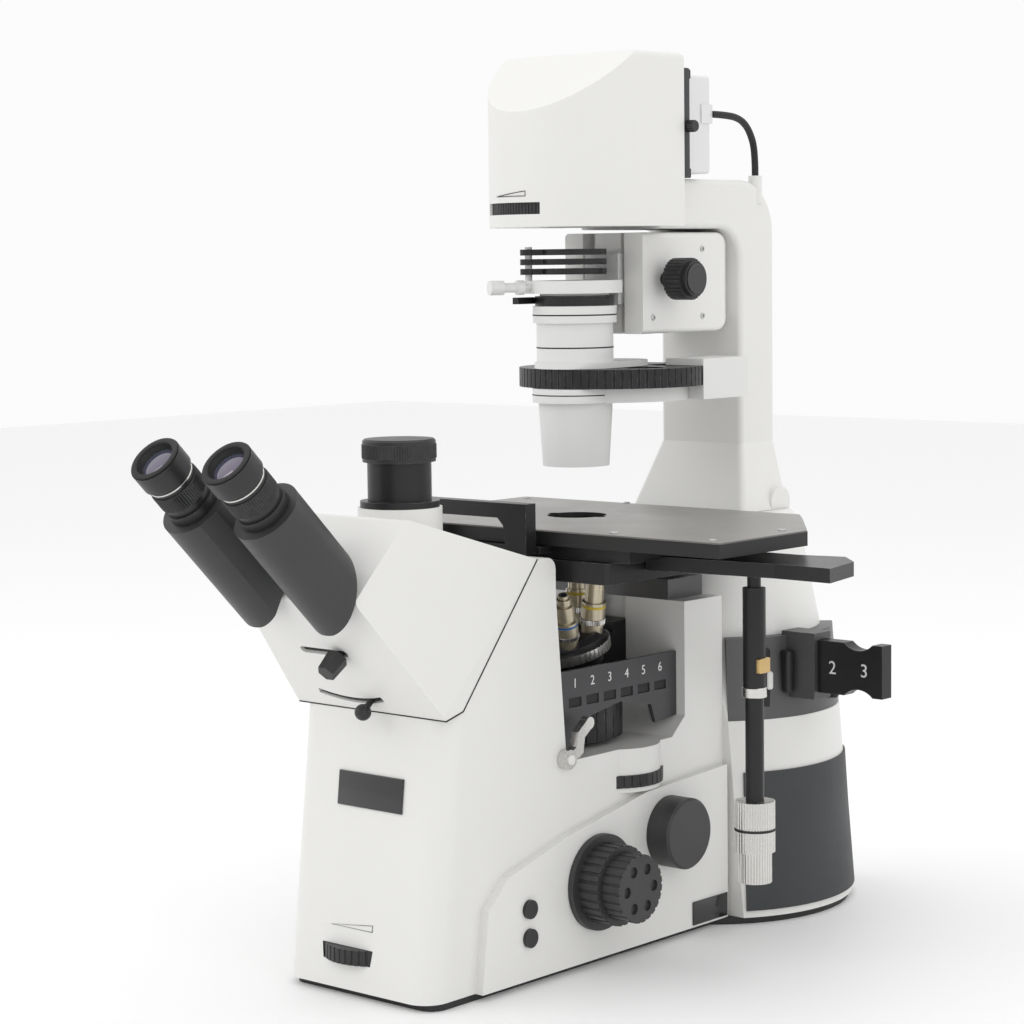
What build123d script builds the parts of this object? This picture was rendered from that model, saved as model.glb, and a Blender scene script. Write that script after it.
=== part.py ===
from build123d import *
import math
import os

os.makedirs("parts", exist_ok=True)

# Inverted microscope, in millimetres. The origin is on the bench under the optical axis,
# the user sits at -Y, the illumination pillar stands at +Y, and +Z is up.

# Frame
frame_half_width = 79
base_plate_height = 6
front_foot_y = -275
seam_front_y = -250
seam_front_z = 222
seam_lip_y = -231
seam_lip_z = 227
column_top_y = -143
column_top_z = 335
bay_front_y = -121
bay_lip_z = 303
bay_floor_y = -110
bay_floor_z = 170
bay_step_y = 26
bay_step_z = 186
bay_rear_y = 44
rear_block_top = 282
frame_rear_y = 96
front_corner_radius = 20
cover_thickness = 8
pad_radius = 14
pad_height = 4

# Fits
running_gap = 0.05
face_gap = 0.3
slide_gap = 0.3

# Rear tower
tower_y = 178
tower_foot_radius = 130
tower_shoulder_z = 84
tower_shoulder_radius = 124
tower_waist_z = 133
tower_waist_radius = 121
tower_neck_low_z = 174
tower_neck_radius = 103
tower_neck_high_z = 244
tower_top_z = 346
tower_top_radius = 82
tower_front_clear_z = 305
tower_front_clear_y = 146
panel_low_z = 12
panel_high_z = 130
panel_thickness = 2
panel_start_angle = -38
panel_end_angle = 62
collar_radius = 117
collar_start_angle = -44
collar_end_angle = 40

# Filter slider in the collar
slider_y = 160
slider_thickness = 14
slider_low_z = 197
slider_high_z = 242
slider_out_x = 203
slider_in_x = 16
slider_travel = 60

# Observation head casing
nose_y = -329
nose_z = 319
ridge_run = 57
nose_half_width = 62
ridge_y = nose_y + ridge_run
ridge_z = nose_z + ridge_run
casing_edge_radius = 5
photo_tube_y = -214
photo_boss_radius = 33
photo_flange_z = 378
photo_flange_radius = 31
photo_neck_radius = 25
photo_neck_top = 413
photo_cap_radius = 28.6
photo_cap_top = 431
photo_bore_radius = 19
ball_lever_pivot = (-10, 121)
ball_lever_length = 110
ball_lever_x = 8
path_slider_x = 9
path_slider_rise = 65

# Binocular tubes, measured along the 45 degree eyepiece axis from the casing's face
eye_half_distance = 38
eye_drop = -2
hinge_rise = 20
hinge_post_radius = 15
hinge_ear_radius = 24
hinge_base_height = 25.7
ear_thickness = 14
housing_radius = 27
housing_top = 96
eyepiece_radius = 18
eyecup_radius = 20.5
eyepiece_top = 148
eye_stem_radius = 15
closing_angle = 23

# Focus drive
focus_y = -81
focus_z = 69
coarse_flange_radius = 39
coarse_radius = 32.5
coarse_face_x = 112
fine_radius = 27.5
fine_face_x = 130
focus_hub_radius = 8
fine_shaft_radius = 4

# Light path knob, push buttons, thumb wheels and lever on the sides and the front
path_knob_y = 10
path_knob_z = 95
path_knob_radius = 29.5
path_knob_face_x = 110
path_shaft_radius = 6
button_y = -167
upper_button_z = 63
lower_button_z = 40
button_radius = 7.5
button_travel = 2
side_wheel_x = 52
side_wheel_y = -17
side_wheel_z = 138
side_wheel_height = 10
side_wheel_radius = 40
front_wheel_x = -9.5
front_wheel_y = -238.5
front_wheel_z = 27
front_wheel_height = 12
front_wheel_radius = 41.5
wheel_pin_radius = 4
lever_y = -114
lever_z = 173

# Nosepiece: the turret's axis leans to the front, the working objective stands on the optical axis
turret_tilt = 13
objective_circle = 31
objective_seat_z = 258
objective_radius = 10
objective_length = 60
objective_count = 6
objective_shortening = [0, 6, 14, 20, 12, 4]
grip_radius = 46
filter_turret_y = -40
filter_turret_radius = 62
filter_turret_z = 175
filter_turret_height = 36
number_panel_x = 66
number_panel_thickness = 4
number_panel_low = 183
number_panel_high = 240

# Stage
stage_top = 354
stage_plate_height = 12
stage_base_low = 314
stage_base_high = 331
stage_base_half_width = 123
stage_base_front = -110
stage_base_rear = 100
carriage_height = 10
stage_front = -111
stage_rear = 108
stage_left = -150
stage_right = 232
stage_corner_x = 172
stage_corner_y = 83
stage_shoulder_y = 4
insert_radius = 98
hole_radius = 25
post_x = 183
post_radius = 9.25
lower_post_radius = 7.5
y_knob_radius = 16.25
x_knob_radius = 13.5
y_knob_low = 93
y_knob_high = 134
x_knob_low = 68
arm_low = 322
arm_high = 330.5
guard_y = -120
guard_depth = 12
guard_top = 376
guard_low = 336
bracket_low = 283
bracket_high = 299

# Illumination pillar
pillar_half_width = 44.5
pillar_front_y = 172
pillar_rear_y = 222
pillar_flare_z = 405
pillar_foot_front_y = 150
pillar_foot_half_width = 62
arm_front_y = 60
arm_bottom_z = 592
pillar_top_z = 634
arm_inner_radius = 28
arm_outer_radius = 45
tilt_y = 206
tilt_z = 352
tilt_barrel_radius = 14

# Lamp head
head_radius = 70
head_low = 594
head_high = 736
head_slope_z = 686
head_exit_radius = 28
dial_low = 604.5
dial_high = 613.5
dial_radius = 67.5
dial_core_radius = 58
dial_slot_start = -131
dial_slot_end = -73
dial_swing = 38
lamp_half_width = 58
lamp_low = 636
lamp_high = 722
lamp_plate_depth = 10
fin_count = 7
fin_pitch = 4.4
fin_thickness = 2
pin_length = 14

# Lamp cable: route points chosen along its way from the heat sink down into the arm
cable_radius = 3
cable_route = [(56, 116, 688), (56, 140, 688), (52, 164, 685), (46, 184, 676), (40, 200, 660), (40, 200, 638)]

# Condenser
rail_box_half_width = 42
rail_box_front = 38.5
rail_box_low = 504.5
rail_box_high = 589
rail_width = 22
condenser_knob_y = 55
condenser_knob_z = 550
condenser_knob_radius = 17.5
holder_low = 539.5
holder_high = 550
holder_radius = 40
condenser_tube_radius = 32
condenser_flange_radius = 35
disc_y = 49
disc_radius = 79
disc_low = 461
disc_high = 477
lens_cone_low = 396
lens_cone_high = 443.6
filter_pin_x = -28.5
filter_pin_y = -25.1
filter_reach = 38
filter_pin_radius = 3
filter_pin_top = 578
clamp_radius = 2.5
clamp_angle = 243


def save(builder, name):
    builder.part.label = name
    export_step(builder.part, "parts/" + name + ".step")


# A round solid standing on Z
def drum(x, y, low, high, radius, mode=Mode.ADD):
    with BuildSketch(Plane.XY.offset(low)) as outline:
        with Locations((x, y)):
            Circle(radius)
    extrude(outline.sketch, amount=high - low, mode=mode)


# A round solid lying along X
def side_drum(y, z, near, far, radius, mode=Mode.ADD):
    with BuildSketch(Plane.YZ.offset(near)) as outline:
        with Locations((y, z)):
            Circle(radius)
    extrude(outline.sketch, amount=far - near, mode=mode)


# A block between two corners
def block(low, high, mode=Mode.ADD):
    with BuildSketch(Plane.XY.offset(low[2])) as outline:
        with Locations(((low[0] + high[0]) / 2, (low[1] + high[1]) / 2)):
            Rectangle(high[0] - low[0], high[1] - low[1])
    extrude(outline.sketch, amount=high[2] - low[2], mode=mode)


# A round outline with finger grooves all round
def ribbed_circle(radius, groove, count):
    Circle(radius)
    with PolarLocations(radius, count):
        Circle(groove, mode=Mode.SUBTRACT)


# The main frame: a U of front column, floor and rear block, with the objective bay between
with BuildPart() as main_frame:
    with BuildSketch(Plane.YZ):
        with BuildLine():
            Polyline(
                (front_foot_y, base_plate_height),
                (seam_front_y, seam_front_z),
                (seam_lip_y, seam_lip_z),
                (column_top_y, column_top_z),
                (bay_front_y, column_top_z),
                (bay_front_y, bay_lip_z),
                (bay_floor_y, bay_floor_z),
                (bay_step_y, bay_floor_z),
                (bay_rear_y, bay_step_z),
                (bay_rear_y, rear_block_top),
                (frame_rear_y, rear_block_top),
                (frame_rear_y, base_plate_height),
                close=True,
            )
        make_face()
    extrude(amount=frame_half_width, both=True)
    front_corners = main_frame.faces().sort_by(Axis.Y)[0].edges().filter_by(Axis.X, reverse=True)
    fillet(front_corners, front_corner_radius)
    column_edge = main_frame.edges().filter_by(Axis.X).group_by(Axis.Z)[-1].sort_by(Axis.Y)[-1]
    fillet(column_edge, 10)
    # boss over the side wheel, blending into the flank
    drum(side_wheel_x, side_wheel_y, side_wheel_z - 4, bay_floor_z, side_wheel_radius - 2)
    # pin that the filter turret turns on
    drum(0, filter_turret_y, bay_floor_z, filter_turret_z + filter_turret_height - 6, path_shaft_radius)
    # guide channel for the nosepiece carriage
    block((-16, bay_rear_y - 1, bay_step_z - 8), (16, bay_rear_y + 10, rear_block_top + 1), Mode.SUBTRACT)
    # bores for the focus drive, the light path shaft and the push buttons
    side_drum(focus_y, focus_z, -frame_half_width - 1, frame_half_width + 1,
              focus_hub_radius + running_gap, Mode.SUBTRACT)
    side_drum(path_knob_y, path_knob_z, 40, frame_half_width + 1,
              path_shaft_radius + running_gap, Mode.SUBTRACT)
    for button_z in (upper_button_z, lower_button_z):
        side_drum(button_y, button_z, frame_half_width - 13, frame_half_width + 1,
                  button_radius - 2 + running_gap, Mode.SUBTRACT)
    # ring slots for the two thumb wheels, each leaving its pin
    for wheel_x, wheel_y, wheel_z, height, radius in (
        (side_wheel_x, side_wheel_y, side_wheel_z, side_wheel_height, side_wheel_radius),
        (front_wheel_x, front_wheel_y, front_wheel_z, front_wheel_height, front_wheel_radius),
    ):
        with BuildSketch(Plane.XY.offset(wheel_z - face_gap)):
            with Locations((wheel_x, wheel_y)):
                Circle(radius + 1)
                Circle(wheel_pin_radius, mode=Mode.SUBTRACT)
        extrude(amount=height + 2 * face_gap, mode=Mode.SUBTRACT)
    # hinge pin of the refocus lever
    side_drum(lever_y, lever_z, frame_half_width, frame_half_width + 9, 4)
save(main_frame, "main_frame")

# Bottom plate with the rubber pads set in it
pad_places = [(-62, -245), (62, -245), (-88, 190), (88, 190)]
with BuildPart() as base_plate:
    with BuildSketch():
        with Locations((0, (front_foot_y + 8 + frame_rear_y) / 2)):
            RectangleRounded(2 * frame_half_width - 4, frame_rear_y - front_foot_y - 8, 14)
        with Locations((0, tower_y)):
            Circle(tower_foot_radius - 4)
    extrude(amount=base_plate_height)
    with BuildSketch():
        with Locations(*pad_places):
            Circle(pad_radius)
    extrude(amount=pad_height, mode=Mode.SUBTRACT)
save(base_plate, "base_plate")

with BuildPart() as rubber_pads:
    with BuildSketch():
        with Locations(*pad_places):
            Circle(pad_radius)
    extrude(amount=pad_height)
save(rubber_pads, "rubber_pads")

# Raised covers on both flanks, with the bores that the drives pass through
with BuildPart() as side_covers:
    for side in (-1, 1):
        with BuildSketch(Plane.YZ.offset(side * frame_half_width)) as cover_outline:
            with BuildLine():
                Polyline(
                    (-222, base_plate_height),
                    (-214, 70),
                    (-190, 92),
                    (-119, 112),
                    (-17, 132),
                    (frame_rear_y - 4, 138),
                    (frame_rear_y - 4, base_plate_height),
                    close=True,
                )
            make_face()
        extrude(cover_outline.sketch, amount=side * cover_thickness)
    cover_face_x = frame_half_width + cover_thickness
    side_drum(focus_y, focus_z, -cover_face_x - 1, cover_face_x + 1, focus_hub_radius + 1, Mode.SUBTRACT)
    side_drum(path_knob_y, path_knob_z, frame_half_width - 1, cover_face_x + 1,
              path_shaft_radius + 1, Mode.SUBTRACT)
    for button_z in (upper_button_z, lower_button_z):
        side_drum(button_y, button_z, frame_half_width - 1, cover_face_x + 1,
                  button_radius + running_gap, Mode.SUBTRACT)
save(side_covers, "side_covers")

# Rear tower: a tapering drum whose front is cut flat against the frame and clear of the stage
def tower_profile():
    Polyline(
        (0, base_plate_height),
        (tower_foot_radius, base_plate_height),
        (tower_shoulder_radius, tower_shoulder_z),
        (tower_waist_radius, tower_waist_z),
        (collar_radius + 1, tower_neck_low_z),
        (tower_neck_radius + 2, tower_neck_high_z - 16),
        (tower_neck_radius - 2, tower_neck_high_z),
        (tower_top_radius, tower_top_z - 8),
        (tower_top_radius - 8, tower_top_z),
        (0, tower_top_z),
        close=True,
    )


tower_axis = Plane(origin=(0, tower_y, 0), x_dir=(1, 0, 0), z_dir=(0, -1, 0))


# A piece of a ring about the tower, between two heights and two angles
def tower_ring(inner_low, inner_high, outer_low, outer_high, low, high, start, end,
               mode=Mode.ADD):
    with BuildSketch(tower_axis) as ring_profile:
        with BuildLine():
            Polyline((inner_low, low), (outer_low, low), (outer_high, high), (inner_high, high), close=True)
        make_face()
    ring = revolve(ring_profile.sketch, axis=Axis((0, tower_y, 0), (0, 0, 1)),
                   revolution_arc=end - start, mode=Mode.PRIVATE)
    add(ring.rotate(Axis((0, tower_y, 0), (0, 0, 1)), start), mode=mode)


with BuildPart() as tower_housing:
    with BuildSketch(tower_axis):
        with BuildLine():
            tower_profile()
        make_face()
    revolve(axis=Axis((0, tower_y, 0), (0, 0, 1)))
    block((-140, tower_y - 140, 0), (140, frame_rear_y, tower_front_clear_z + 1), Mode.SUBTRACT)
    block((-140, tower_y - 140, tower_front_clear_z), (140, tower_front_clear_y, tower_top_z + 1), Mode.SUBTRACT)
    # seat of the filter collar
    tower_ring(tower_neck_radius, tower_neck_radius - 2, tower_foot_radius, tower_foot_radius,
               tower_neck_low_z, tower_neck_high_z, collar_start_angle, collar_end_angle, Mode.SUBTRACT)
    # trough for the pillar's hinge barrel
    side_drum(tilt_y, tilt_z, -pillar_foot_half_width - 1, pillar_foot_half_width + 1,
              tilt_barrel_radius + face_gap, Mode.SUBTRACT)
    # way for the filter slider
    slider_half = slider_thickness / 2 + slide_gap
    block((slider_in_x - slider_travel - 4, slider_y - slider_half, slider_low_z - slide_gap),
          (tower_foot_radius, slider_y + slider_half, slider_high_z + slide_gap), Mode.SUBTRACT)
save(tower_housing, "tower_housing")


shoulder_rise = (panel_low_z - base_plate_height) / (tower_shoulder_z - base_plate_height)
panel_low_radius = tower_foot_radius + (tower_shoulder_radius - tower_foot_radius) * shoulder_rise
waist_rise = (panel_high_z - tower_shoulder_z) / (tower_waist_z - tower_shoulder_z)
panel_high_radius = tower_shoulder_radius + (tower_waist_radius - tower_shoulder_radius) * waist_rise
with BuildPart() as tower_side_panels:
    for start, end in ((panel_start_angle, panel_end_angle), (180 - panel_end_angle, 180 - panel_start_angle)):
        tower_ring(panel_low_radius, tower_shoulder_radius, panel_low_radius + panel_thickness,
                   tower_shoulder_radius + panel_thickness, panel_low_z, tower_shoulder_z, start, end)
        tower_ring(tower_shoulder_radius, panel_high_radius, tower_shoulder_radius + panel_thickness,
                   panel_high_radius + panel_thickness, tower_shoulder_z, panel_high_z, start, end)
save(tower_side_panels, "tower_side_panels")

# Collar on the tower's right side, with the slider's holder block
with BuildPart() as filter_collar:
    tower_ring(tower_neck_radius, tower_neck_radius - 2, collar_radius, collar_radius - 5,
               tower_neck_low_z, tower_neck_high_z, collar_start_angle, collar_end_angle)
    block((104, slider_y - 12, slider_low_z - 6), (138, slider_y + 12, slider_high_z + 6))
    block((90, slider_y - slider_half, slider_low_z - slide_gap),
          (140, slider_y + slider_half, slider_high_z + slide_gap), Mode.SUBTRACT)
save(filter_collar, "filter_collar")

with BuildPart() as filter_slider:
    slider_middle_z = (slider_low_z + slider_high_z) / 2
    slider_height = slider_high_z - slider_low_z
    with BuildSketch(Plane.XZ.offset(-slider_y - slider_thickness / 2)):
        with Locations(((slider_in_x + slider_out_x) / 2, slider_middle_z)):
            Rectangle(slider_out_x - slider_in_x, slider_height)
        for waist_z in (slider_low_z - 14, slider_high_z + 14):
            with Locations((slider_out_x - 24, waist_z)):
                Circle(20, mode=Mode.SUBTRACT)
        # windows that hold the filters
        with Locations((slider_in_x + 28, slider_middle_z), (slider_in_x + 68, slider_middle_z)):
            Circle(16, mode=Mode.SUBTRACT)
    extrude(amount=slider_thickness)
save(filter_slider, "filter_slider")

# Head casing: a wedge whose flanks taper towards the nose
with BuildPart() as head_casing:
    with BuildSketch(Plane.YZ):
        with BuildLine():
            Polyline(
                (seam_lip_y, seam_lip_z),
                (seam_front_y, seam_front_z),
                (nose_y, nose_z),
                (ridge_y, ridge_z),
                (column_top_y, column_top_z),
                close=True,
            )
        make_face()
    extrude(amount=frame_half_width, both=True)
    for side in (-1, 1):
        corner = Vector(side * frame_half_width, column_top_y, column_top_z)
        along_top = Vector(side * nose_half_width, ridge_y, ridge_z) - corner
        along_nose = Vector(0, nose_y - ridge_y, nose_z - ridge_z)
        facet = Plane(origin=corner, z_dir=along_top.cross(along_nose) * side)
        split(bisect_by=facet, keep=Keep.BOTTOM if facet.z_dir.X * side > 0 else Keep.TOP)
    cross_edges = head_casing.edges().filter_by(Axis.X).filter_by_position(Axis.Z, nose_z - 1, ridge_z + 1)
    fillet(cross_edges.filter_by_position(Axis.Y, nose_y - 1, ridge_y + 1), casing_edge_radius)
    drum(0, photo_tube_y, photo_flange_z - 34, photo_flange_z, photo_boss_radius)
    # slot of the light path slider and bowed slot of the ball lever in the front face
    front_face = Plane(origin=(0, seam_front_y, seam_front_z), x_dir=(1, 0, 0),
                       z_dir=(0, seam_front_z - nose_z, nose_y - seam_front_y))
    with BuildSketch(front_face):
        with Locations((-9, path_slider_rise)):
            SlotOverall(50, 6.6)
    extrude(amount=-8, mode=Mode.SUBTRACT)
    with BuildSketch(front_face):
        with BuildLine() as bow:
            CenterArc(ball_lever_pivot, ball_lever_length, 270 - 19, 36)
        trace(bow.line, line_width=5.6)
    extrude(amount=8, both=True, mode=Mode.SUBTRACT)
save(head_casing, "head_casing")

# Slider knob in the straight slot: a hexagonal grip on a stem
with BuildPart() as path_slider_knob:
    with BuildSketch(front_face.offset(-7)):
        with Locations((path_slider_x, path_slider_rise)):
            Circle(3)
    extrude(amount=11)
    with BuildSketch(front_face.offset(4)):
        with Locations((path_slider_x, path_slider_rise)):
            RegularPolygon(9, 6)
    extrude(amount=17, taper=4)
save(path_slider_knob, "path_slider_knob")

# Ball lever in the bowed slot
ball_swing = math.asin((ball_lever_x - ball_lever_pivot[0]) / ball_lever_length)
ball_rise = ball_lever_pivot[1] - ball_lever_length * math.cos(ball_swing)
with BuildPart() as ball_lever:
    with BuildSketch(front_face.offset(-7)):
        with Locations((ball_lever_x, ball_rise)):
            Circle(2.5)
    extrude(amount=15)
    with Locations(front_face.offset(12).location):
        with Locations((ball_lever_x, ball_rise)):
            Sphere(6.5)
save(ball_lever, "ball_lever")

# Photo tube with its pull-off cap
with BuildPart() as photo_tube:
    drum(0, photo_tube_y, photo_flange_z, photo_flange_z + 5, photo_flange_radius)
    drum(0, photo_tube_y, photo_flange_z + 5, photo_neck_top, photo_neck_radius)
    drum(0, photo_tube_y, photo_flange_z + 8, photo_neck_top, photo_bore_radius, Mode.SUBTRACT)
save(photo_tube, "photo_tube")

with BuildPart() as photo_tube_cap:
    with BuildSketch(Plane.XY.offset(photo_neck_top + face_gap)):
        with Locations((0, photo_tube_y)):
            Circle(photo_cap_radius)
    extrude(amount=photo_cap_top - photo_neck_top - face_gap)
    chamfer(photo_tube_cap.edges().group_by(Axis.Z)[-1], 1.5)
    drum(0, photo_tube_y, photo_neck_top - 14, photo_neck_top + face_gap, photo_bore_radius - running_gap)
save(photo_tube_cap, "photo_tube_cap")

# Binocular head: two prism housings turn about one post that stands on the casing's face
eye_face = Plane(origin=(0, (nose_y - nose_z) / 2, (nose_z - nose_y) / 2), x_dir=(1, 0, 0), z_dir=(0, -1, 1))
lower_ear = hinge_base_height + face_gap
upper_ear = lower_ear + ear_thickness + face_gap
with BuildPart() as bridge_pivot:
    with BuildSketch(eye_face):
        with Locations((0, hinge_rise)):
            Circle(hinge_ear_radius - 2)
    extrude(amount=hinge_base_height)
    with BuildSketch(eye_face.offset(hinge_base_height)):
        with Locations((0, hinge_rise)):
            Circle(hinge_post_radius)
    extrude(amount=upper_ear + ear_thickness + 2 - hinge_base_height)
save(bridge_pivot, "bridge_pivot")


def prism_housing(side, ear_start, other_ear_start):
    with BuildSketch(eye_face.offset(-14)) as barrel:
        with Locations((side * eye_half_distance, eye_drop)):
            Circle(housing_radius)
    extrude(barrel.sketch, amount=housing_top + 14)
    # the lower end is cut obliquely, clear of the casing
    low_cut = eye_face.location * Pos(0, 0, 6.5) * Rot(36, 0, 0) * Pos(0, 0, -60)
    add(low_cut * Box(160, 200, 120, mode=Mode.PRIVATE), mode=Mode.SUBTRACT)
    # flat inner side, so that the two housings close without meeting
    inner_cut = (eye_face.location * Pos(0, hinge_rise, 50) * Rot(0, 0, side * (closing_angle + 1))
                 * Pos(-side * 60, 0, 0))
    add(inner_cut * Box(120, 300, 300, mode=Mode.PRIVATE), mode=Mode.SUBTRACT)
    # room for the post's base and for the other housing's ear
    for start, height in ((-20, hinge_base_height + 20 + face_gap), (other_ear_start - face_gap,
                                                                    ear_thickness + 2 * face_gap)):
        with BuildSketch(eye_face.offset(start)) as room:
            with Locations((0, hinge_rise)):
                Circle(hinge_ear_radius + face_gap)
        extrude(room.sketch, amount=height, mode=Mode.SUBTRACT)
    with BuildSketch(eye_face.offset(ear_start)) as ear:
        with Locations((0, hinge_rise)):
            Circle(hinge_ear_radius)
    extrude(ear.sketch, amount=ear_thickness)
    with BuildSketch(eye_face.offset(-1)) as post_bore:
        with Locations((0, hinge_rise)):
            Circle(hinge_post_radius + running_gap)
    extrude(post_bore.sketch, amount=housing_top, mode=Mode.SUBTRACT)
    with BuildSketch(eye_face.offset(housing_top - 22)) as eye_bore:
        with Locations((side * eye_half_distance, eye_drop)):
            Circle(eye_stem_radius + running_gap)
    extrude(eye_bore.sketch, amount=30, mode=Mode.SUBTRACT)


with BuildPart() as prism_housing_right:
    prism_housing(1, lower_ear, upper_ear)
save(prism_housing_right, "prism_housing_right")

with BuildPart() as prism_housing_left:
    prism_housing(-1, upper_ear, lower_ear)
save(prism_housing_left, "prism_housing_left")


# Eyepiece: stem, stepped barrel with the knurled dioptre ring, eyecup and eye lens
def eyepiece(side):
    steps = [
        (housing_top - 20, housing_top + face_gap, eye_stem_radius),
        (housing_top + face_gap, housing_top + 8, eyepiece_radius + 2),
        (housing_top + 8, housing_top + 36, eyepiece_radius),
        (housing_top + 36, eyepiece_top, eyecup_radius),
    ]
    for start, end, radius in steps:
        with BuildSketch(eye_face.offset(start)) as step:
            with Locations((side * eye_half_distance, eye_drop)):
                Circle(radius)
        extrude(step.sketch, amount=end - start)
    with BuildSketch(eye_face.offset(eyepiece_top)) as cup:
        with Locations((side * eye_half_distance, eye_drop)):
            Circle(eyecup_radius - 5)
    extrude(cup.sketch, amount=-6, taper=20, mode=Mode.SUBTRACT)


with BuildPart() as eyepiece_right:
    eyepiece(1)
save(eyepiece_right, "eyepiece_right")

with BuildPart() as eyepiece_left:
    eyepiece(-1)
save(eyepiece_left, "eyepiece_left")

# Coarse focus: one hub and ribbed knob on each flank, bored for the fine shaft
with BuildPart() as coarse_knobs:
    for side in (-1, 1):
        flange_x = cover_face_x + face_gap
        side_drum(focus_y, focus_z, side * (frame_half_width - 50), side * flange_x, focus_hub_radius)
        side_drum(focus_y, focus_z, side * flange_x, side * (flange_x + 5), coarse_flange_radius)
        with BuildSketch(Plane.YZ.offset(side * (flange_x + 5))) as grip:
            with Locations((focus_y, focus_z)):
                ribbed_circle(coarse_radius, 1.6, 28)
        extrude(grip.sketch, amount=side * (coarse_face_x - flange_x - 5))
    side_drum(focus_y, focus_z, -coarse_face_x - 1, coarse_face_x + 1,
              fine_shaft_radius + running_gap, Mode.SUBTRACT)
save(coarse_knobs, "coarse_knobs")

with BuildPart() as fine_shaft:
    side_drum(focus_y, focus_z, -fine_face_x + 8, fine_face_x - 8, fine_shaft_radius)
save(fine_shaft, "fine_shaft")

with BuildPart() as fine_knobs:
    for side in (-1, 1):
        with BuildSketch(Plane.YZ.offset(side * (coarse_face_x + face_gap))) as knob:
            with Locations((focus_y, focus_z)):
                ribbed_circle(fine_radius, 1.2, 24)
        extrude(knob.sketch, amount=side * (fine_face_x - coarse_face_x - face_gap))
        with BuildSketch(Plane.YZ.offset(side * fine_face_x)) as dimples:
            with Locations((focus_y, focus_z)):
                with PolarLocations(17, 6):
                    Circle(4.5)
        extrude(dimples.sketch, amount=-side * 2.5, mode=Mode.SUBTRACT)
    side_drum(focus_y, focus_z, -fine_face_x + 8, fine_face_x - 8, fine_shaft_radius, Mode.SUBTRACT)
save(fine_knobs, "fine_knobs")

with BuildPart() as light_path_knob:
    side_drum(path_knob_y, path_knob_z, 42, cover_face_x + face_gap, path_shaft_radius)
    with BuildSketch(Plane.YZ.offset(cover_face_x + face_gap)):
        with Locations((path_knob_y, path_knob_z)):
            Circle(path_knob_radius)
    extrude(amount=path_knob_face_x - cover_face_x - face_gap)
    chamfer(light_path_knob.edges().group_by(Axis.X)[-1], 2)
save(light_path_knob, "light_path_knob")


def push_button(height):
    side_drum(button_y, height, frame_half_width - 12 + button_travel, frame_half_width + button_travel,
              button_radius - 2)
    with BuildSketch(Plane.YZ.offset(frame_half_width + button_travel)) as cap:
        with Locations((button_y, height)):
            Circle(button_radius)
    extrude(cap.sketch, amount=cover_thickness + 1)


with BuildPart() as push_button_upper:
    push_button(upper_button_z)
save(push_button_upper, "push_button_upper")

with BuildPart() as push_button_lower:
    push_button(lower_button_z)
save(push_button_lower, "push_button_lower")


# Thumb wheel turning on a pin of the frame
def thumb_wheel(x, y, z, height, radius, count):
    with BuildSketch(Plane.XY.offset(z)) as wheel:
        with Locations((x, y)):
            ribbed_circle(radius, 1, count)
            Circle(wheel_pin_radius + running_gap, mode=Mode.SUBTRACT)
    extrude(wheel.sketch, amount=height)


with BuildPart() as side_wheel:
    thumb_wheel(side_wheel_x, side_wheel_y, side_wheel_z, side_wheel_height, side_wheel_radius, 36)
save(side_wheel, "side_wheel")

with BuildPart() as brightness_wheel:
    thumb_wheel(front_wheel_x, front_wheel_y, front_wheel_z, front_wheel_height, front_wheel_radius, 44)
save(brightness_wheel, "brightness_wheel")

# Refocus lever: a curved finger on its pin
with BuildPart() as refocus_lever:
    with BuildSketch(Plane.YZ.offset(frame_half_width + face_gap)):
        with Locations((lever_y, lever_z)):
            Circle(8)
        with BuildLine() as finger_line:
            Polyline((lever_y, lever_z), (lever_y + 12, lever_z + 6), (lever_y + 14, lever_z + 18),
                     (lever_y + 25, lever_z + 26))
        trace(finger_line.line, line_width=9)
        with Locations((lever_y + 25, lever_z + 26)):
            Circle(5)
        with Locations((lever_y, lever_z)):
            Circle(4 + running_gap, mode=Mode.SUBTRACT)
    extrude(amount=7)
save(refocus_lever, "refocus_lever")

# Filter turret on its pin in the bay floor, with six cube seats
with BuildPart() as filter_turret:
    with BuildSketch(Plane.XY.offset(filter_turret_z)):
        with Locations((0, filter_turret_y)):
            Circle(filter_turret_radius)
            with PolarLocations(filter_turret_radius, 36):
                Circle(1.2, mode=Mode.SUBTRACT)
            Circle(path_shaft_radius + running_gap, mode=Mode.SUBTRACT)
    extrude(amount=filter_turret_height)
    with BuildSketch(Plane.XY.offset(filter_turret_z + filter_turret_height)):
        with Locations((0, filter_turret_y)):
            with PolarLocations(-filter_turret_y, 6, start_angle=90):
                Circle(12)
    extrude(amount=-filter_turret_height, mode=Mode.SUBTRACT)
save(filter_turret, "filter_turret")

# Panel in front of the turret, with its arch and six windows
with BuildPart() as number_panel:
    with BuildSketch(Plane.YZ.offset(number_panel_x)):
        with BuildLine():
            Polyline(
                (bay_floor_y, bay_floor_z),
                (bay_floor_y, number_panel_low),
                (bay_floor_y, number_panel_high),
                (bay_rear_y, number_panel_high),
                (bay_rear_y, bay_step_z),
                (16, number_panel_low),
                (10, number_panel_low + 16),
                (-30, number_panel_low + 24),
                (-68, number_panel_low + 18),
                (-78, number_panel_low),
                (-80, bay_floor_z),
                close=True,
            )
        make_face()
        with Locations(((bay_floor_y + bay_rear_y) / 2, number_panel_high - 26)):
            with GridLocations(22, 1, 6, 1):
                RectangleRounded(16, 8, 1, mode=Mode.SUBTRACT)
    extrude(amount=number_panel_thickness)
save(number_panel, "number_panel")

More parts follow.
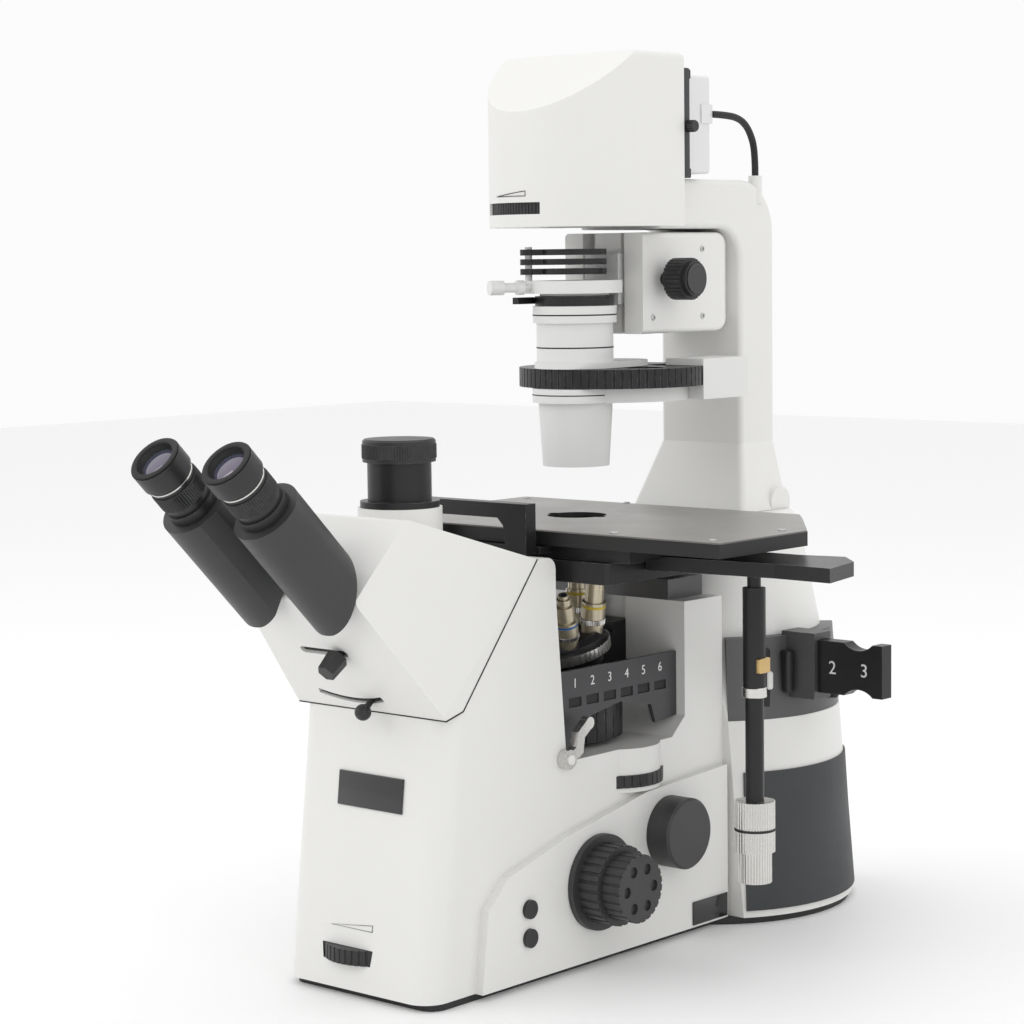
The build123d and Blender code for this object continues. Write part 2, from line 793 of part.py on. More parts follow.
# Nosepiece: carrier on the frame's guide, tilted turret, bright grip ring and six objectives
tilt = math.radians(turret_tilt)
turret_apex_z = objective_seat_z - objective_circle / math.sin(tilt)
turret_reach = objective_circle / math.tan(tilt)
turret_plane = Plane(
    origin=(0, -turret_reach * math.sin(tilt), turret_apex_z + turret_reach * math.cos(tilt)),
    x_dir=(1, 0, 0),
    z_dir=(0, -math.sin(tilt), math.cos(tilt)),
)


def turret_disc(low, high, radius, mode=Mode.ADD):
    with BuildSketch(turret_plane.offset(low)) as outline:
        Circle(radius)
    extrude(outline.sketch, amount=high - low, mode=mode)


with BuildPart() as nosepiece_carrier:
    turret_disc(-20, -12.3, 38)
    block((-15.7, 0, 216), (15.7, bay_rear_y + 9.6, 262))
    turret_disc(-12.3, 30, 60, Mode.SUBTRACT)
    turret_disc(-20, -4, 8)
    # light path through the carrier
    drum(0, 0, 200, 262, 11, Mode.SUBTRACT)
save(nosepiece_carrier, "nosepiece_carrier")


# Seat of one objective: square to the objective's own axis, which is splayed by the tilt
def objective_seat(number):
    turn = math.radians(90 + number * 360 / objective_count)
    outward = turret_plane.x_dir * math.cos(turn) + turret_plane.y_dir * math.sin(turn)
    direction = turret_plane.z_dir * math.cos(tilt) + outward * math.sin(tilt)
    return Plane(origin=turret_plane.origin + outward * objective_circle + direction * 4,
                 x_dir=direction.cross(Vector(1, 0.3, 0)), z_dir=direction)


with BuildPart() as nosepiece_turret:
    with BuildSketch(turret_plane.offset(-12)):
        Circle(grip_radius - 4)
    extrude(amount=14)
    with BuildSketch(turret_plane.offset(2)):
        Circle(grip_radius - 4)
    extrude(amount=5, taper=30)
    for number in range(objective_count):
        with BuildSketch(objective_seat(number)) as seat:
            Circle(objective_radius)
        extrude(seat.sketch, amount=12, mode=Mode.SUBTRACT)
        with BuildSketch(objective_seat(number)) as throat:
            Circle(objective_radius - 3)
        extrude(throat.sketch, amount=-24, mode=Mode.SUBTRACT)
    turret_disc(-12, -3.7, 8 + running_gap, Mode.SUBTRACT)
save(nosepiece_turret, "nosepiece_turret")

with BuildPart() as turret_grip_ring:
    with BuildSketch(turret_plane.offset(-10)):
        Circle(grip_radius)
        with PolarLocations(grip_radius, 60):
            Circle(0.7, mode=Mode.SUBTRACT)
        Circle(grip_radius - 4, mode=Mode.SUBTRACT)
    extrude(amount=8)
save(turret_grip_ring, "turret_grip_ring")

# Objectives: each stands square on its seat, splayed from the turret's axis by the tilt
objective_steps = [(0, 8, -1), (8, 30, 0), (30, 48, -2), (48, 56, -4), (56, 60, -5.5)]
with BuildPart() as objectives:
    for number, shortened in enumerate(objective_shortening):
        shorter = shortened / objective_length
        seat_plane = objective_seat(number)
        for start, end, inset in objective_steps:
            with BuildSketch(seat_plane.offset(start * (1 - shorter))) as step:
                Circle(objective_radius + inset)
            extrude(step.sketch, amount=(end - start) * (1 - shorter))
save(objectives, "objectives")

# Stage bracket on the rear block and fixed stage base over the bay
with BuildPart() as stage_bracket:
    with BuildSketch(Plane.XY.offset(rear_block_top)):
        with Locations((0, (bay_rear_y + 91) / 2)):
            Rectangle(2 * 62, 91 - bay_rear_y)
    extrude(amount=bracket_high - rear_block_top)
    block((-40, bay_rear_y + 8, bracket_high), (-20, 91, stage_base_low))
    block((20, bay_rear_y + 8, bracket_high), (40, 91, stage_base_low))
save(stage_bracket, "stage_bracket")

with BuildPart() as stage_base:
    with BuildSketch(Plane.XY.offset(stage_base_low)):
        with Locations((0, (stage_base_front + stage_base_rear) / 2)):
            RectangleRounded(2 * stage_base_half_width, stage_base_rear - stage_base_front, 4)
        with Locations((0, -30)):
            RectangleRounded(124, 122, 16, mode=Mode.SUBTRACT)
    extrude(amount=stage_base_high - stage_base_low)
    # legs down to the column's ledge
    for x in (-50, 50):
        block((x - 12, bay_front_y, bay_lip_z), (x + 12, stage_base_front + 2, stage_base_high))
save(stage_base, "stage_base")

# Moving carriage: opened over the objectives, with the arm that carries the drive post
carriage_low = stage_base_high + face_gap
carriage_top = carriage_low + carriage_height
with BuildPart() as stage_carriage:
    with BuildSketch(Plane.XY.offset(carriage_low)):
        with Locations((0, (stage_base_front + stage_base_rear) / 2)):
            Rectangle(2 * 138, stage_base_rear - stage_base_front - 16)
        with Locations((0, -10)):
            RectangleRounded(124, 130, 12, mode=Mode.SUBTRACT)
    extrude(amount=carriage_height)
    block((-62, guard_y, guard_low), (62, stage_base_front + 20, carriage_low + carriage_height))
    with BuildSketch(Plane.XY.offset(arm_low)):
        with BuildLine():
            Polyline((stage_base_half_width + 2, -64), (239, -50), (291, -51), (280, -3), (256, 21),
                     (219, 12), (stage_base_half_width + 2, 12), close=True)
        make_face()
    extrude(amount=carriage_low - arm_low + 2)
save(stage_carriage, "stage_carriage")

with BuildPart() as stage_guard:
    with BuildSketch(Plane.XZ.offset(-guard_y)):
        with BuildLine():
            Polyline((-60, guard_low), (-60, guard_top), (58, guard_top), (58, guard_low), (42, guard_low),
                     (36, guard_low + 8), (34, guard_top - 18), (28, guard_top - 12), (-48, guard_top - 12),
                     (-48, guard_low), close=True)
        make_face()
    extrude(amount=guard_depth)
save(stage_guard, "stage_guard")

# Top plate with its rounded opening for the insert
top_low = stage_top - stage_plate_height
with BuildPart() as stage_top_plate:
    with BuildSketch(Plane.XY.offset(top_low)):
        with BuildLine():
            Polyline((stage_left, stage_front), (stage_right, stage_front), (stage_right, stage_shoulder_y),
                     (stage_corner_x, stage_corner_y), (stage_corner_x - 20, stage_rear),
                     (stage_left, stage_rear), close=True)
        make_face()
        Circle(insert_radius, mode=Mode.SUBTRACT)
    extrude(amount=stage_plate_height)
    with BuildSketch(Plane.XY.offset(top_low)):
        Circle(insert_radius)
        Circle(insert_radius - 4, mode=Mode.SUBTRACT)
    extrude(amount=stage_plate_height - 4)
    chamfer(stage_top_plate.edges().group_by(Axis.Z)[-1].filter_by(GeomType.LINE), 1)
save(stage_top_plate, "stage_top_plate")

with BuildPart() as stage_insert:
    with BuildSketch(Plane.XY.offset(stage_top - 4)):
        Circle(insert_radius)
        Circle(hole_radius, mode=Mode.SUBTRACT)
        with PolarLocations(hole_radius, 2):
            Circle(5, mode=Mode.SUBTRACT)
    extrude(amount=4)
save(stage_insert, "stage_insert")

# Drive post under the arm, with the two coaxial stage knobs
with BuildPart() as drive_post:
    drum(post_x, 0, 306, arm_low, 5.5)
    drum(post_x, 0, 222, 306, post_radius)
    drum(post_x, 0, y_knob_high + face_gap, 222, lower_post_radius)
    drum(post_x, 0, x_knob_low + 8, y_knob_high + face_gap, 4)
save(drive_post, "drive_post")


def post_knob(low, high, radius, count):
    with BuildSketch(Plane.XY.offset(low)) as knob:
        with Locations((post_x, 0)):
            ribbed_circle(radius, 0.9, count)
    extrude(knob.sketch, amount=high - low)


with BuildPart() as y_drive_knob:
    post_knob(y_knob_low, y_knob_high, y_knob_radius, 40)
    drum(post_x, 0, y_knob_low, y_knob_high, 4 + running_gap, Mode.SUBTRACT)
save(y_drive_knob, "y_drive_knob")

with BuildPart() as x_drive_knob:
    post_knob(x_knob_low, y_knob_low - face_gap, x_knob_radius, 34)
    drum(post_x, 0, x_knob_low + 8 - face_gap, y_knob_low, 4 + running_gap, Mode.SUBTRACT)
save(x_drive_knob, "x_drive_knob")

# Illumination pillar: flared foot with the hinge barrel, column and forward arm
with BuildPart() as pillar_arm:
    with BuildSketch(Plane.YZ):
        with BuildLine():
            FilletPolyline(
                (pillar_front_y, pillar_flare_z),
                (pillar_front_y, arm_bottom_z),
                (arm_front_y, arm_bottom_z),
                radius=arm_inner_radius,
            )
            Line((arm_front_y, arm_bottom_z), (arm_front_y, pillar_top_z))
            FilletPolyline(
                (arm_front_y, pillar_top_z),
                (pillar_rear_y, pillar_top_z),
                (pillar_rear_y, pillar_flare_z),
                radius=arm_outer_radius,
            )
            Line((pillar_rear_y, pillar_flare_z), (pillar_front_y, pillar_flare_z))
        make_face()
    extrude(amount=pillar_half_width, both=True)
    fillet(pillar_arm.edges().filter_by_position(Axis.X, pillar_half_width - 0.1, pillar_half_width + 0.1)
           .filter_by_position(Axis.Z, pillar_flare_z + 1, pillar_top_z + 1), 5)
    fillet(pillar_arm.edges().filter_by_position(Axis.X, -pillar_half_width - 0.1, -pillar_half_width + 0.1)
           .filter_by_position(Axis.Z, pillar_flare_z + 1, pillar_top_z + 1), 5)
    foot_low = tower_top_z + face_gap
    with BuildSketch(Plane.XY.offset(foot_low)):
        with Locations((0, (pillar_foot_front_y + tilt_y + tilt_barrel_radius) / 2)):
            RectangleRounded(2 * pillar_foot_half_width, tilt_y + tilt_barrel_radius - pillar_foot_front_y, 6)
    with BuildSketch(Plane.XY.offset(pillar_flare_z)):
        with Locations((0, (pillar_front_y + pillar_rear_y) / 2)):
            RectangleRounded(2 * pillar_half_width, pillar_rear_y - pillar_front_y, 5)
    loft()
    # the lower rear edge is rounded about the hinge axis
    block((-pillar_foot_half_width - 1, tilt_y, tower_top_z - 1),
          (pillar_foot_half_width + 1, pillar_rear_y + 1, tilt_z), Mode.SUBTRACT)
    side_drum(tilt_y, tilt_z, -pillar_foot_half_width, pillar_foot_half_width, tilt_barrel_radius)
    # grommet that the lamp cable enters
    drum(cable_route[-1][0], cable_route[-1][1], pillar_top_z - 20, cable_route[-1][2], cable_radius + 3)
save(pillar_arm, "pillar_arm")

# A flat sector of a ring about the optical axis
def ring_sector(inner, outer, start, end):
    with BuildLine() as sector:
        CenterArc((0, 0), inner, start, end - start)
        CenterArc((0, 0), outer, start, end - start)
        for angle in (start, end):
            turn = math.radians(angle)
            Line((inner * math.cos(turn), inner * math.sin(turn)),
                 (outer * math.cos(turn), outer * math.sin(turn)))
    make_face(sector.edges())


# Lamp head: a D-shaped cover with a sloping front, its light exit and the dial's slot
with BuildPart() as lamp_head_cover:
    with BuildSketch(Plane.XY.offset(head_low)):
        Circle(head_radius)
        with Locations((0, arm_front_y / 2)):
            Rectangle(2 * head_radius, arm_front_y)
        with Locations((0, arm_front_y + head_radius / 2)):
            Rectangle(2 * head_radius, head_radius, mode=Mode.SUBTRACT)
    extrude(amount=head_high - head_low)
    with BuildSketch(Plane.YZ.offset(-head_radius - 1)):
        with BuildLine():
            Polyline((-2, head_high), (-head_radius - 1, head_slope_z), (-head_radius - 1, head_high + 1),
                     (-2, head_high + 1), close=True)
        make_face()
    extrude(amount=2 * head_radius + 2, mode=Mode.SUBTRACT)
    fillet(lamp_head_cover.edges().filter_by_position(Axis.Z, head_slope_z + 1, head_high + 1), 5)
    drum(0, 0, head_low, head_low + 4, head_exit_radius, Mode.SUBTRACT)
    with BuildSketch(Plane.XY.offset(dial_low - face_gap)):
        ring_sector(dial_core_radius, dial_radius + face_gap,
                    dial_slot_start - 2 * dial_swing, dial_slot_end + 2 * dial_swing)
        ring_sector(dial_radius - 1, head_radius + 4, dial_slot_start, dial_slot_end)
    extrude(amount=dial_high - dial_low + 2 * face_gap, mode=Mode.SUBTRACT)
save(lamp_head_cover, "lamp_head_cover")

with BuildPart() as collector_lens:
    drum(0, 0, head_low + 1, head_low + 4, head_exit_radius)
save(collector_lens, "collector_lens")

with BuildPart() as diaphragm_dial:
    with BuildSketch(Plane.XY.offset(dial_low)):
        ring_sector(dial_core_radius + running_gap, dial_radius,
                    dial_slot_start - dial_swing, dial_slot_end + dial_swing)
        with PolarLocations(dial_radius, 48, start_angle=dial_slot_start - dial_swing,
                            angular_range=dial_slot_end - dial_slot_start + 2 * dial_swing):
            Circle(0.8, mode=Mode.SUBTRACT)
    extrude(amount=dial_high - dial_low)
save(diaphragm_dial, "diaphragm_dial")

# Lamp: dark mounting plate, then a heat sink of square fins and a field of pins
lamp_middle_z = (lamp_low + lamp_high) / 2
lamp_height = lamp_high - lamp_low
fins_start = arm_front_y + lamp_plate_depth
fins_end = fins_start + fin_count * fin_pitch
with BuildPart() as lamp_plate:
    with BuildSketch(Plane.XZ.offset(-arm_front_y)):
        with Locations((0, lamp_middle_z)):
            RectangleRounded(2 * lamp_half_width, lamp_height, 4)
    extrude(amount=-lamp_plate_depth)
save(lamp_plate, "lamp_plate")

with BuildPart() as lamp_heatsink:
    with BuildSketch(Plane.XZ.offset(-fins_start)):
        with Locations((0, lamp_middle_z)):
            Circle(30)
    extrude(amount=-(fins_end - fins_start))
    for number in range(fin_count):
        fin_back = fins_start + (number + 1) * fin_pitch
        with BuildSketch(Plane.XZ.offset(-fin_back + fin_thickness)) as fin:
            with Locations((0, lamp_middle_z)):
                RectangleRounded(2 * lamp_half_width - 4, lamp_height - 4, 3)
        extrude(fin.sketch, amount=-fin_thickness)
    with BuildSketch(Plane.XZ.offset(-fins_end)):
        with Locations((0, lamp_middle_z)):
            with GridLocations(18, 15, 6, 5):
                Rectangle(5, 5)
    extrude(amount=-pin_length)
    with BuildSketch(Plane.XZ.offset(-fins_end)):
        with Locations((cable_route[0][0] - 6, cable_route[0][2])):
            Rectangle(14, 16)
    extrude(amount=-(cable_route[0][1] - fins_end))
save(lamp_heatsink, "lamp_heatsink")

# Cable: straight runs joined by arcs as large as the runs allow
cable_points = [Vector(*point) for point in cable_route]
cable_bends = []
for before, corner, after in zip(cable_points, cable_points[1:], cable_points[2:]):
    shorter_run = min((corner - before).length, (after - corner).length)
    half_turn = math.radians((corner - before).get_angle(after - corner)) / 2
    cable_bends.append(0.45 * shorter_run / math.tan(half_turn))
print("cable bend radii", [round(bend, 1) for bend in cable_bends])
with BuildPart() as lamp_cable:
    with BuildLine():
        cable_path = FilletPolyline(*cable_points, radius=cable_bends)
    with BuildSketch(Plane(origin=cable_path @ 0, z_dir=cable_path % 0)):
        Circle(cable_radius)
    sweep()
save(lamp_cable, "lamp_cable")

# Condenser rail box on the pillar, recessed for the slide
with BuildPart() as condenser_rail_box:
    block((-rail_box_half_width, rail_box_front, rail_box_low),
          (rail_box_half_width, pillar_front_y, rail_box_high))
    fillet(condenser_rail_box.edges().filter_by(Axis.Y), 4)
    rear_top_edge = condenser_rail_box.edges().filter_by(Axis.X).group_by(Axis.Z)[-1].sort_by(Axis.Y)[-1]
    fillet(rear_top_edge, arm_inner_radius)
    block((-rail_width - face_gap, rail_box_front - 1, rail_box_low - 1),
          (rail_width + face_gap, rail_box_front + 13.5, rail_box_high + 1), Mode.SUBTRACT)
    block((-rail_width + 8, rail_box_front + 6, rail_box_low),
          (rail_width - 8, rail_box_front + 14, rail_box_high))
    side_drum(condenser_knob_y + 12, condenser_knob_z, rail_box_half_width - 12, rail_box_half_width + 1,
              5 + running_gap, Mode.SUBTRACT)
save(condenser_rail_box, "condenser_rail_box")

with BuildPart() as condenser_knob:
    side_drum(condenser_knob_y + 12, condenser_knob_z, rail_box_half_width - 11, rail_box_half_width + 12, 5)
    with BuildSketch(Plane.YZ.offset(rail_box_half_width + 12)):
        with Locations((condenser_knob_y + 12, condenser_knob_z)):
            ribbed_circle(condenser_knob_radius, 0.9, 30)
    extrude(amount=18)
    side_drum(condenser_knob_y + 12, condenser_knob_z, rail_box_half_width + 30, rail_box_half_width + 34,
              condenser_knob_radius - 3)
save(condenser_knob, "condenser_knob")

# Slide with the holder ring that carries the condenser
clamp_plane = Plane(origin=(0, 0, (holder_low + holder_high) / 2),
                    z_dir=(math.cos(math.radians(clamp_angle)), math.sin(math.radians(clamp_angle)), 0))
with BuildPart() as condenser_bracket:
    drum(0, 0, holder_low, holder_high, holder_radius)
    drum(filter_pin_x, filter_pin_y, holder_low, holder_high, 7)
    drum(filter_pin_x, filter_pin_y, holder_high, filter_pin_top, filter_pin_radius)
    block((-18, 24, holder_low), (18, rail_box_front, holder_high))
    block((-18, rail_box_front - 3, holder_low - 10), (18, rail_box_front + 5.7, holder_high + 22))
    drum(0, 0, holder_low - 1, holder_high + 1, 29, Mode.SUBTRACT)
    with BuildSketch(clamp_plane.offset(20)) as clamp_bore:
        Circle(clamp_radius + running_gap)
    extrude(clamp_bore.sketch, amount=30, mode=Mode.SUBTRACT)
save(condenser_bracket, "condenser_bracket")

with BuildPart() as clamp_screw:
    for start, end, radius in ((30, 46, clamp_radius), (46, 52, 6), (52, 64, 4), (64, 76, 6)):
        with BuildSketch(clamp_plane.offset(start)) as step:
            Circle(radius)
        extrude(step.sketch, amount=end - start)
save(clamp_screw, "clamp_screw")

aperture_low = 529
with BuildPart() as aperture_ring:
    drum(0, 0, aperture_low + face_gap, holder_low - 2 - face_gap, condenser_flange_radius - 2)
    block((-30, -44, aperture_low + 2), (-24, -22, holder_low - 3))
    drum(0, 0, aperture_low, holder_low, 20 + running_gap, Mode.SUBTRACT)
save(aperture_ring, "aperture_ring")

# Condenser body: tube, flange and the housing above and below the turret disc
with BuildPart() as condenser_body:
    drum(0, 0, aperture_low - 14, aperture_low, condenser_flange_radius)
    drum(0, 0, disc_high + 4, aperture_low - 14, condenser_tube_radius)
    drum(0, 0, aperture_low, holder_low - 2, 20)
    drum(0, 0, holder_low - 2, holder_low + 6, 29)
    with BuildSketch(Plane.XY.offset(disc_high + face_gap)):
        make_hull([*(Circle(condenser_tube_radius + 2, mode=Mode.PRIVATE).edges()),
                   *((Pos(0, disc_y) * Circle(30, mode=Mode.PRIVATE)).edges())])
    extrude(amount=5)
    with BuildSketch(Plane.XY.offset(disc_low - 12)):
        Circle(condenser_flange_radius + 1)
        with Locations((0, disc_y)):
            Circle(disc_radius - 14)
    extrude(amount=12 - face_gap)
    # block behind the disc that joins the upper and lower parts
    block((34, disc_y + 30, disc_low - 12), (74, disc_y + disc_radius + 14, disc_high + 6))
    with BuildSketch(Plane.XY.offset(disc_low - face_gap)):
        with Locations((0, disc_y)):
            Circle(disc_radius + face_gap)
    extrude(amount=disc_high - disc_low + 2 * face_gap, mode=Mode.SUBTRACT)
    drum(0, disc_y, disc_low - 8, disc_high + 3, 8)
    drum(0, 0, disc_low - 13, holder_low + 7, 16, Mode.SUBTRACT)
save(condenser_body, "condenser_body")

with BuildPart() as condenser_disc:
    with BuildSketch(Plane.XY.offset(disc_low)):
        with Locations((0, disc_y)):
            ribbed_circle(disc_radius, 1, 72)
            Circle(8 + running_gap, mode=Mode.SUBTRACT)
            with PolarLocations(disc_y, 5, start_angle=-90):
                Circle(17, mode=Mode.SUBTRACT)
    extrude(amount=disc_high - disc_low)
save(condenser_disc, "condenser_disc")

with BuildPart() as condenser_lens_cone:
    with BuildSketch(Plane.XZ):
        with BuildLine():
            Polyline((0, lens_cone_low), (27.8, lens_cone_low), (30.8, lens_cone_high),
                     (30.8, disc_low - 12), (0, disc_low - 12), close=True)
        make_face()
    revolve(axis=Axis.Z)
    drum(0, 0, lens_cone_low, lens_cone_low + 6, 20, Mode.SUBTRACT)
save(condenser_lens_cone, "condenser_lens_cone")


# Swing-out filter holders stacked on one pin
def filter_holder(low, high):
    drum(0, 0, low, high, 27)
    drum(filter_pin_x, filter_pin_y, low, high, 7)
    lean = math.degrees(math.atan2(filter_pin_y, filter_pin_x))
    with BuildSketch(Plane.XY.offset(low)) as web:
        with Locations((filter_pin_x / 2, filter_pin_y / 2)):
            Rectangle(filter_reach, 12, rotation=lean)
    extrude(web.sketch, amount=high - low)
    drum(0, 0, low, high, 20, Mode.SUBTRACT)
    drum(filter_pin_x, filter_pin_y, low, high, filter_pin_radius + running_gap, Mode.SUBTRACT)


holder_levels = [(555, 560), (563, 568), (571, 576)]
with BuildPart() as filter_holder_lower:
    filter_holder(*holder_levels[0])
save(filter_holder_lower, "filter_holder_lower")

with BuildPart() as filter_holder_middle:
    filter_holder(*holder_levels[1])
save(filter_holder_middle, "filter_holder_middle")

with BuildPart() as filter_holder_upper:
    filter_holder(*holder_levels[2])
save(filter_holder_upper, "filter_holder_upper")
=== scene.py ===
import math

import bmesh
import bpy
from mathutils import Matrix, Vector


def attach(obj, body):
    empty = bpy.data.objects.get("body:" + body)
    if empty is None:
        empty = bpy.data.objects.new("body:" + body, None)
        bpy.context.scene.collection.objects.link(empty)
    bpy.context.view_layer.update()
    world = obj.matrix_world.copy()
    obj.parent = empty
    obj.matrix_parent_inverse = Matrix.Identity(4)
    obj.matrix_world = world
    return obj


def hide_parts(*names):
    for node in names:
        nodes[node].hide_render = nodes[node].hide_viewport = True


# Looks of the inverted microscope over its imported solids. Metres, +Z up, user at -Y.
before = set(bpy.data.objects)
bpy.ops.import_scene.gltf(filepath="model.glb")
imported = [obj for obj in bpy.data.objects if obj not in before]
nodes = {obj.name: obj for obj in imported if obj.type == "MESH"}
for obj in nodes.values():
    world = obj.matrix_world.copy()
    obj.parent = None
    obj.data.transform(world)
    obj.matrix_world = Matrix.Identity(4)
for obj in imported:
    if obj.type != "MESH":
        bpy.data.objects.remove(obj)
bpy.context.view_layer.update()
print("frame loaded,", len(nodes), "nodes")

camera = {
    "place": (1.425, -1.702, 0.570),
    "azimuth": 41.34,  # degrees, looking towards -X and +Y
    "pitch": 5.48,  # degrees below the horizon
    "roll": -0.73,
    "lens": 93.45,
    "sensor": 36,
    "farthest": 20,
}


def addCamera(settings):
    azimuth, pitch, roll = (math.radians(settings[key]) for key in ("azimuth", "pitch", "roll"))
    forward = Vector((-math.sin(azimuth) * math.cos(pitch), math.cos(azimuth) * math.cos(pitch),
                      -math.sin(pitch)))
    level = Vector((math.cos(azimuth), math.sin(azimuth), 0))
    upright = level.cross(forward)
    right = level * math.cos(roll) + upright * math.sin(roll)
    up = upright * math.cos(roll) - level * math.sin(roll)
    data = bpy.data.cameras.new("photoCamera")
    data.lens = settings["lens"]
    data.sensor_width = settings["sensor"]
    data.clip_end = settings["farthest"]
    shown = bpy.data.objects.new("photoCamera", data)
    bpy.context.collection.objects.link(shown)
    turn = Matrix((right, up, -forward)).transposed().to_4x4()
    shown.matrix_world = Matrix.Translation(settings["place"]) @ turn
    bpy.context.scene.camera = shown


addCamera(camera)

# Route in millimetres, from the heat sink down into the arm's grommet
lampCable = {
    "route": [(56, 116, 688), (56, 140, 688), (52, 164, 685), (46, 184, 676), (40, 200, 660), (40, 200, 638)],
    "radius": 0.003,
    "length": 0.113,
}


def addLampCable(settings):
    data = bpy.data.curves.new("lampCableFlex", "CURVE")
    data.dimensions = "3D"
    data.bevel_depth = 1  # times each point's radius, which keeps the curve's own box close to the cable
    data.bevel_resolution = 5
    data.resolution_u = 24
    data.use_fill_caps = True
    spline = data.splines.new("NURBS")
    spline.points.add(len(settings["route"]) - 1)
    for point, place in zip(spline.points, settings["route"]):
        point.co = (place[0] / 1000, place[1] / 1000, place[2] / 1000, 1)
        point.radius = settings["radius"]
    spline.order_u = 3
    spline.use_endpoint_u = True
    flex = bpy.data.objects.new("lampCableFlex", data)
    bpy.context.collection.objects.link(flex)
    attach(flex, "pillar")
    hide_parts("lamp_cable")
    return flex


cable = addLampCable(lampCable)
print("camera and cable placed")

studio = {
    "floor": (0.93, 0.93, 0.93),
    "floorHalf": 6,
    "floorRoughness": 0.6,
    "world": (1.0, 1.0, 1.0),
    "worldStrength": 0.97,
    "lights": [  # name, place, aim, size, watts
        ("keyLight", (-1.6, -2.2, 2.2), (0, -0.05, 0.35), 1.8, 16),
        ("sideLight", (2.4, -0.6, 1.5), (0, 0, 0.35), 1.4, 4),
        ("topLight", (0.2, 0.5, 2.6), (0, 0, 0.3), 2.2, 9),
    ],
}


def addStudio(settings):
    world = bpy.data.worlds.new("studioWorld")
    world.use_nodes = True
    background = world.node_tree.nodes["Background"]
    background.inputs["Color"].default_value = (*settings["world"], 1)
    background.inputs["Strength"].default_value = settings["worldStrength"]
    bpy.context.scene.world = world
    floorMesh = bpy.data.meshes.new("studioFloor")
    half = settings["floorHalf"]
    corners = [(-half, -half, 0), (half, -half, 0), (half, half, 0), (-half, half, 0)]
    floorMesh.from_pydata(corners, [], [(0, 1, 2, 3)])
    floor = bpy.data.objects.new("studioFloor", floorMesh)
    bpy.context.collection.objects.link(floor)
    floorMaterial = bpy.data.materials.new("studioFloor")
    floorMaterial.use_nodes = True
    shader = floorMaterial.node_tree.nodes["Principled BSDF"]
    shader.inputs["Base Color"].default_value = (*settings["floor"], 1)
    shader.inputs["Roughness"].default_value = settings["floorRoughness"]
    floorMesh.materials.append(floorMaterial)
    for name, place, aim, size, watts in settings["lights"]:
        data = bpy.data.lights.new(name, "AREA")
        data.size = size
        data.energy = watts
        lamp = bpy.data.objects.new(name, data)
        lamp.location = place
        lamp.rotation_euler = (Vector(aim) - Vector(place)).to_track_quat("-Z", "Y").to_euler()
        bpy.context.collection.objects.link(lamp)
    bpy.context.scene.view_settings.view_transform = "Standard"


addStudio(studio)
print("studio lit")


def newGroup(name, inputs, outputs):
    group = bpy.data.node_groups.new(name, "ShaderNodeTree")
    for label, kind, value in inputs:
        socket = group.interface.new_socket(label, in_out="INPUT", socket_type=kind)
        socket.default_value = value
    for label, kind in outputs:
        group.interface.new_socket(label, in_out="OUTPUT", socket_type=kind)
    start = group.nodes.new("NodeGroupInput")
    end = group.nodes.new("NodeGroupOutput")
    return group, start, end


def mixColors(tree, factor, first, second, blend="MIX"):
    mix = tree.nodes.new("ShaderNodeMix")
    mix.data_type = "RGBA"
    mix.blend_type = blend
    tree.links.new(factor, mix.inputs["Factor"])
    tree.links.new(first, mix.inputs["A"])
    tree.links.new(second, mix.inputs["B"])
    return mix.outputs["Result"]


def mathNode(tree, operation, first, second):
    node = tree.nodes.new("ShaderNodeMath")
    node.operation = operation
    for socket, value in zip(node.inputs, (first, second)):
        if isinstance(value, (int, float)):
            socket.default_value = value
        else:
            tree.links.new(value, socket)
    return node.outputs[0]


def noiseNode(tree, scale, detail, vector):
    noise = tree.nodes.new("ShaderNodeTexNoise")
    noise.inputs["Detail"].default_value = detail
    if isinstance(scale, (int, float)):
        noise.inputs["Scale"].default_value = scale
    else:
        tree.links.new(scale, noise.inputs["Scale"])
    tree.links.new(vector, noise.inputs["Vector"])
    return noise.outputs["Fac"]


def rangeNode(tree, value, low, high, toLow, toHigh):
    node = tree.nodes.new("ShaderNodeMapRange")
    tree.links.new(value, node.inputs["Value"])
    for label, number in (("From Min", low), ("From Max", high), ("To Min", toLow), ("To Max", toHigh)):
        if isinstance(number, (int, float)):
            node.inputs[label].default_value = number
        else:
            tree.links.new(number, node.inputs[label])
    return node.outputs["Result"]


grainLook = {
    "peelDetail": 4,
    "slow": (14, 3),  # scale and detail of the slow drift
    "speck": (260, 5),  # scale and detail of the specks
    "colourSpeck": 0.5,
    "roughSpeck": 0.4,
    "roughRange": (0.4, 0.95),
    "darker": 0.72,
}


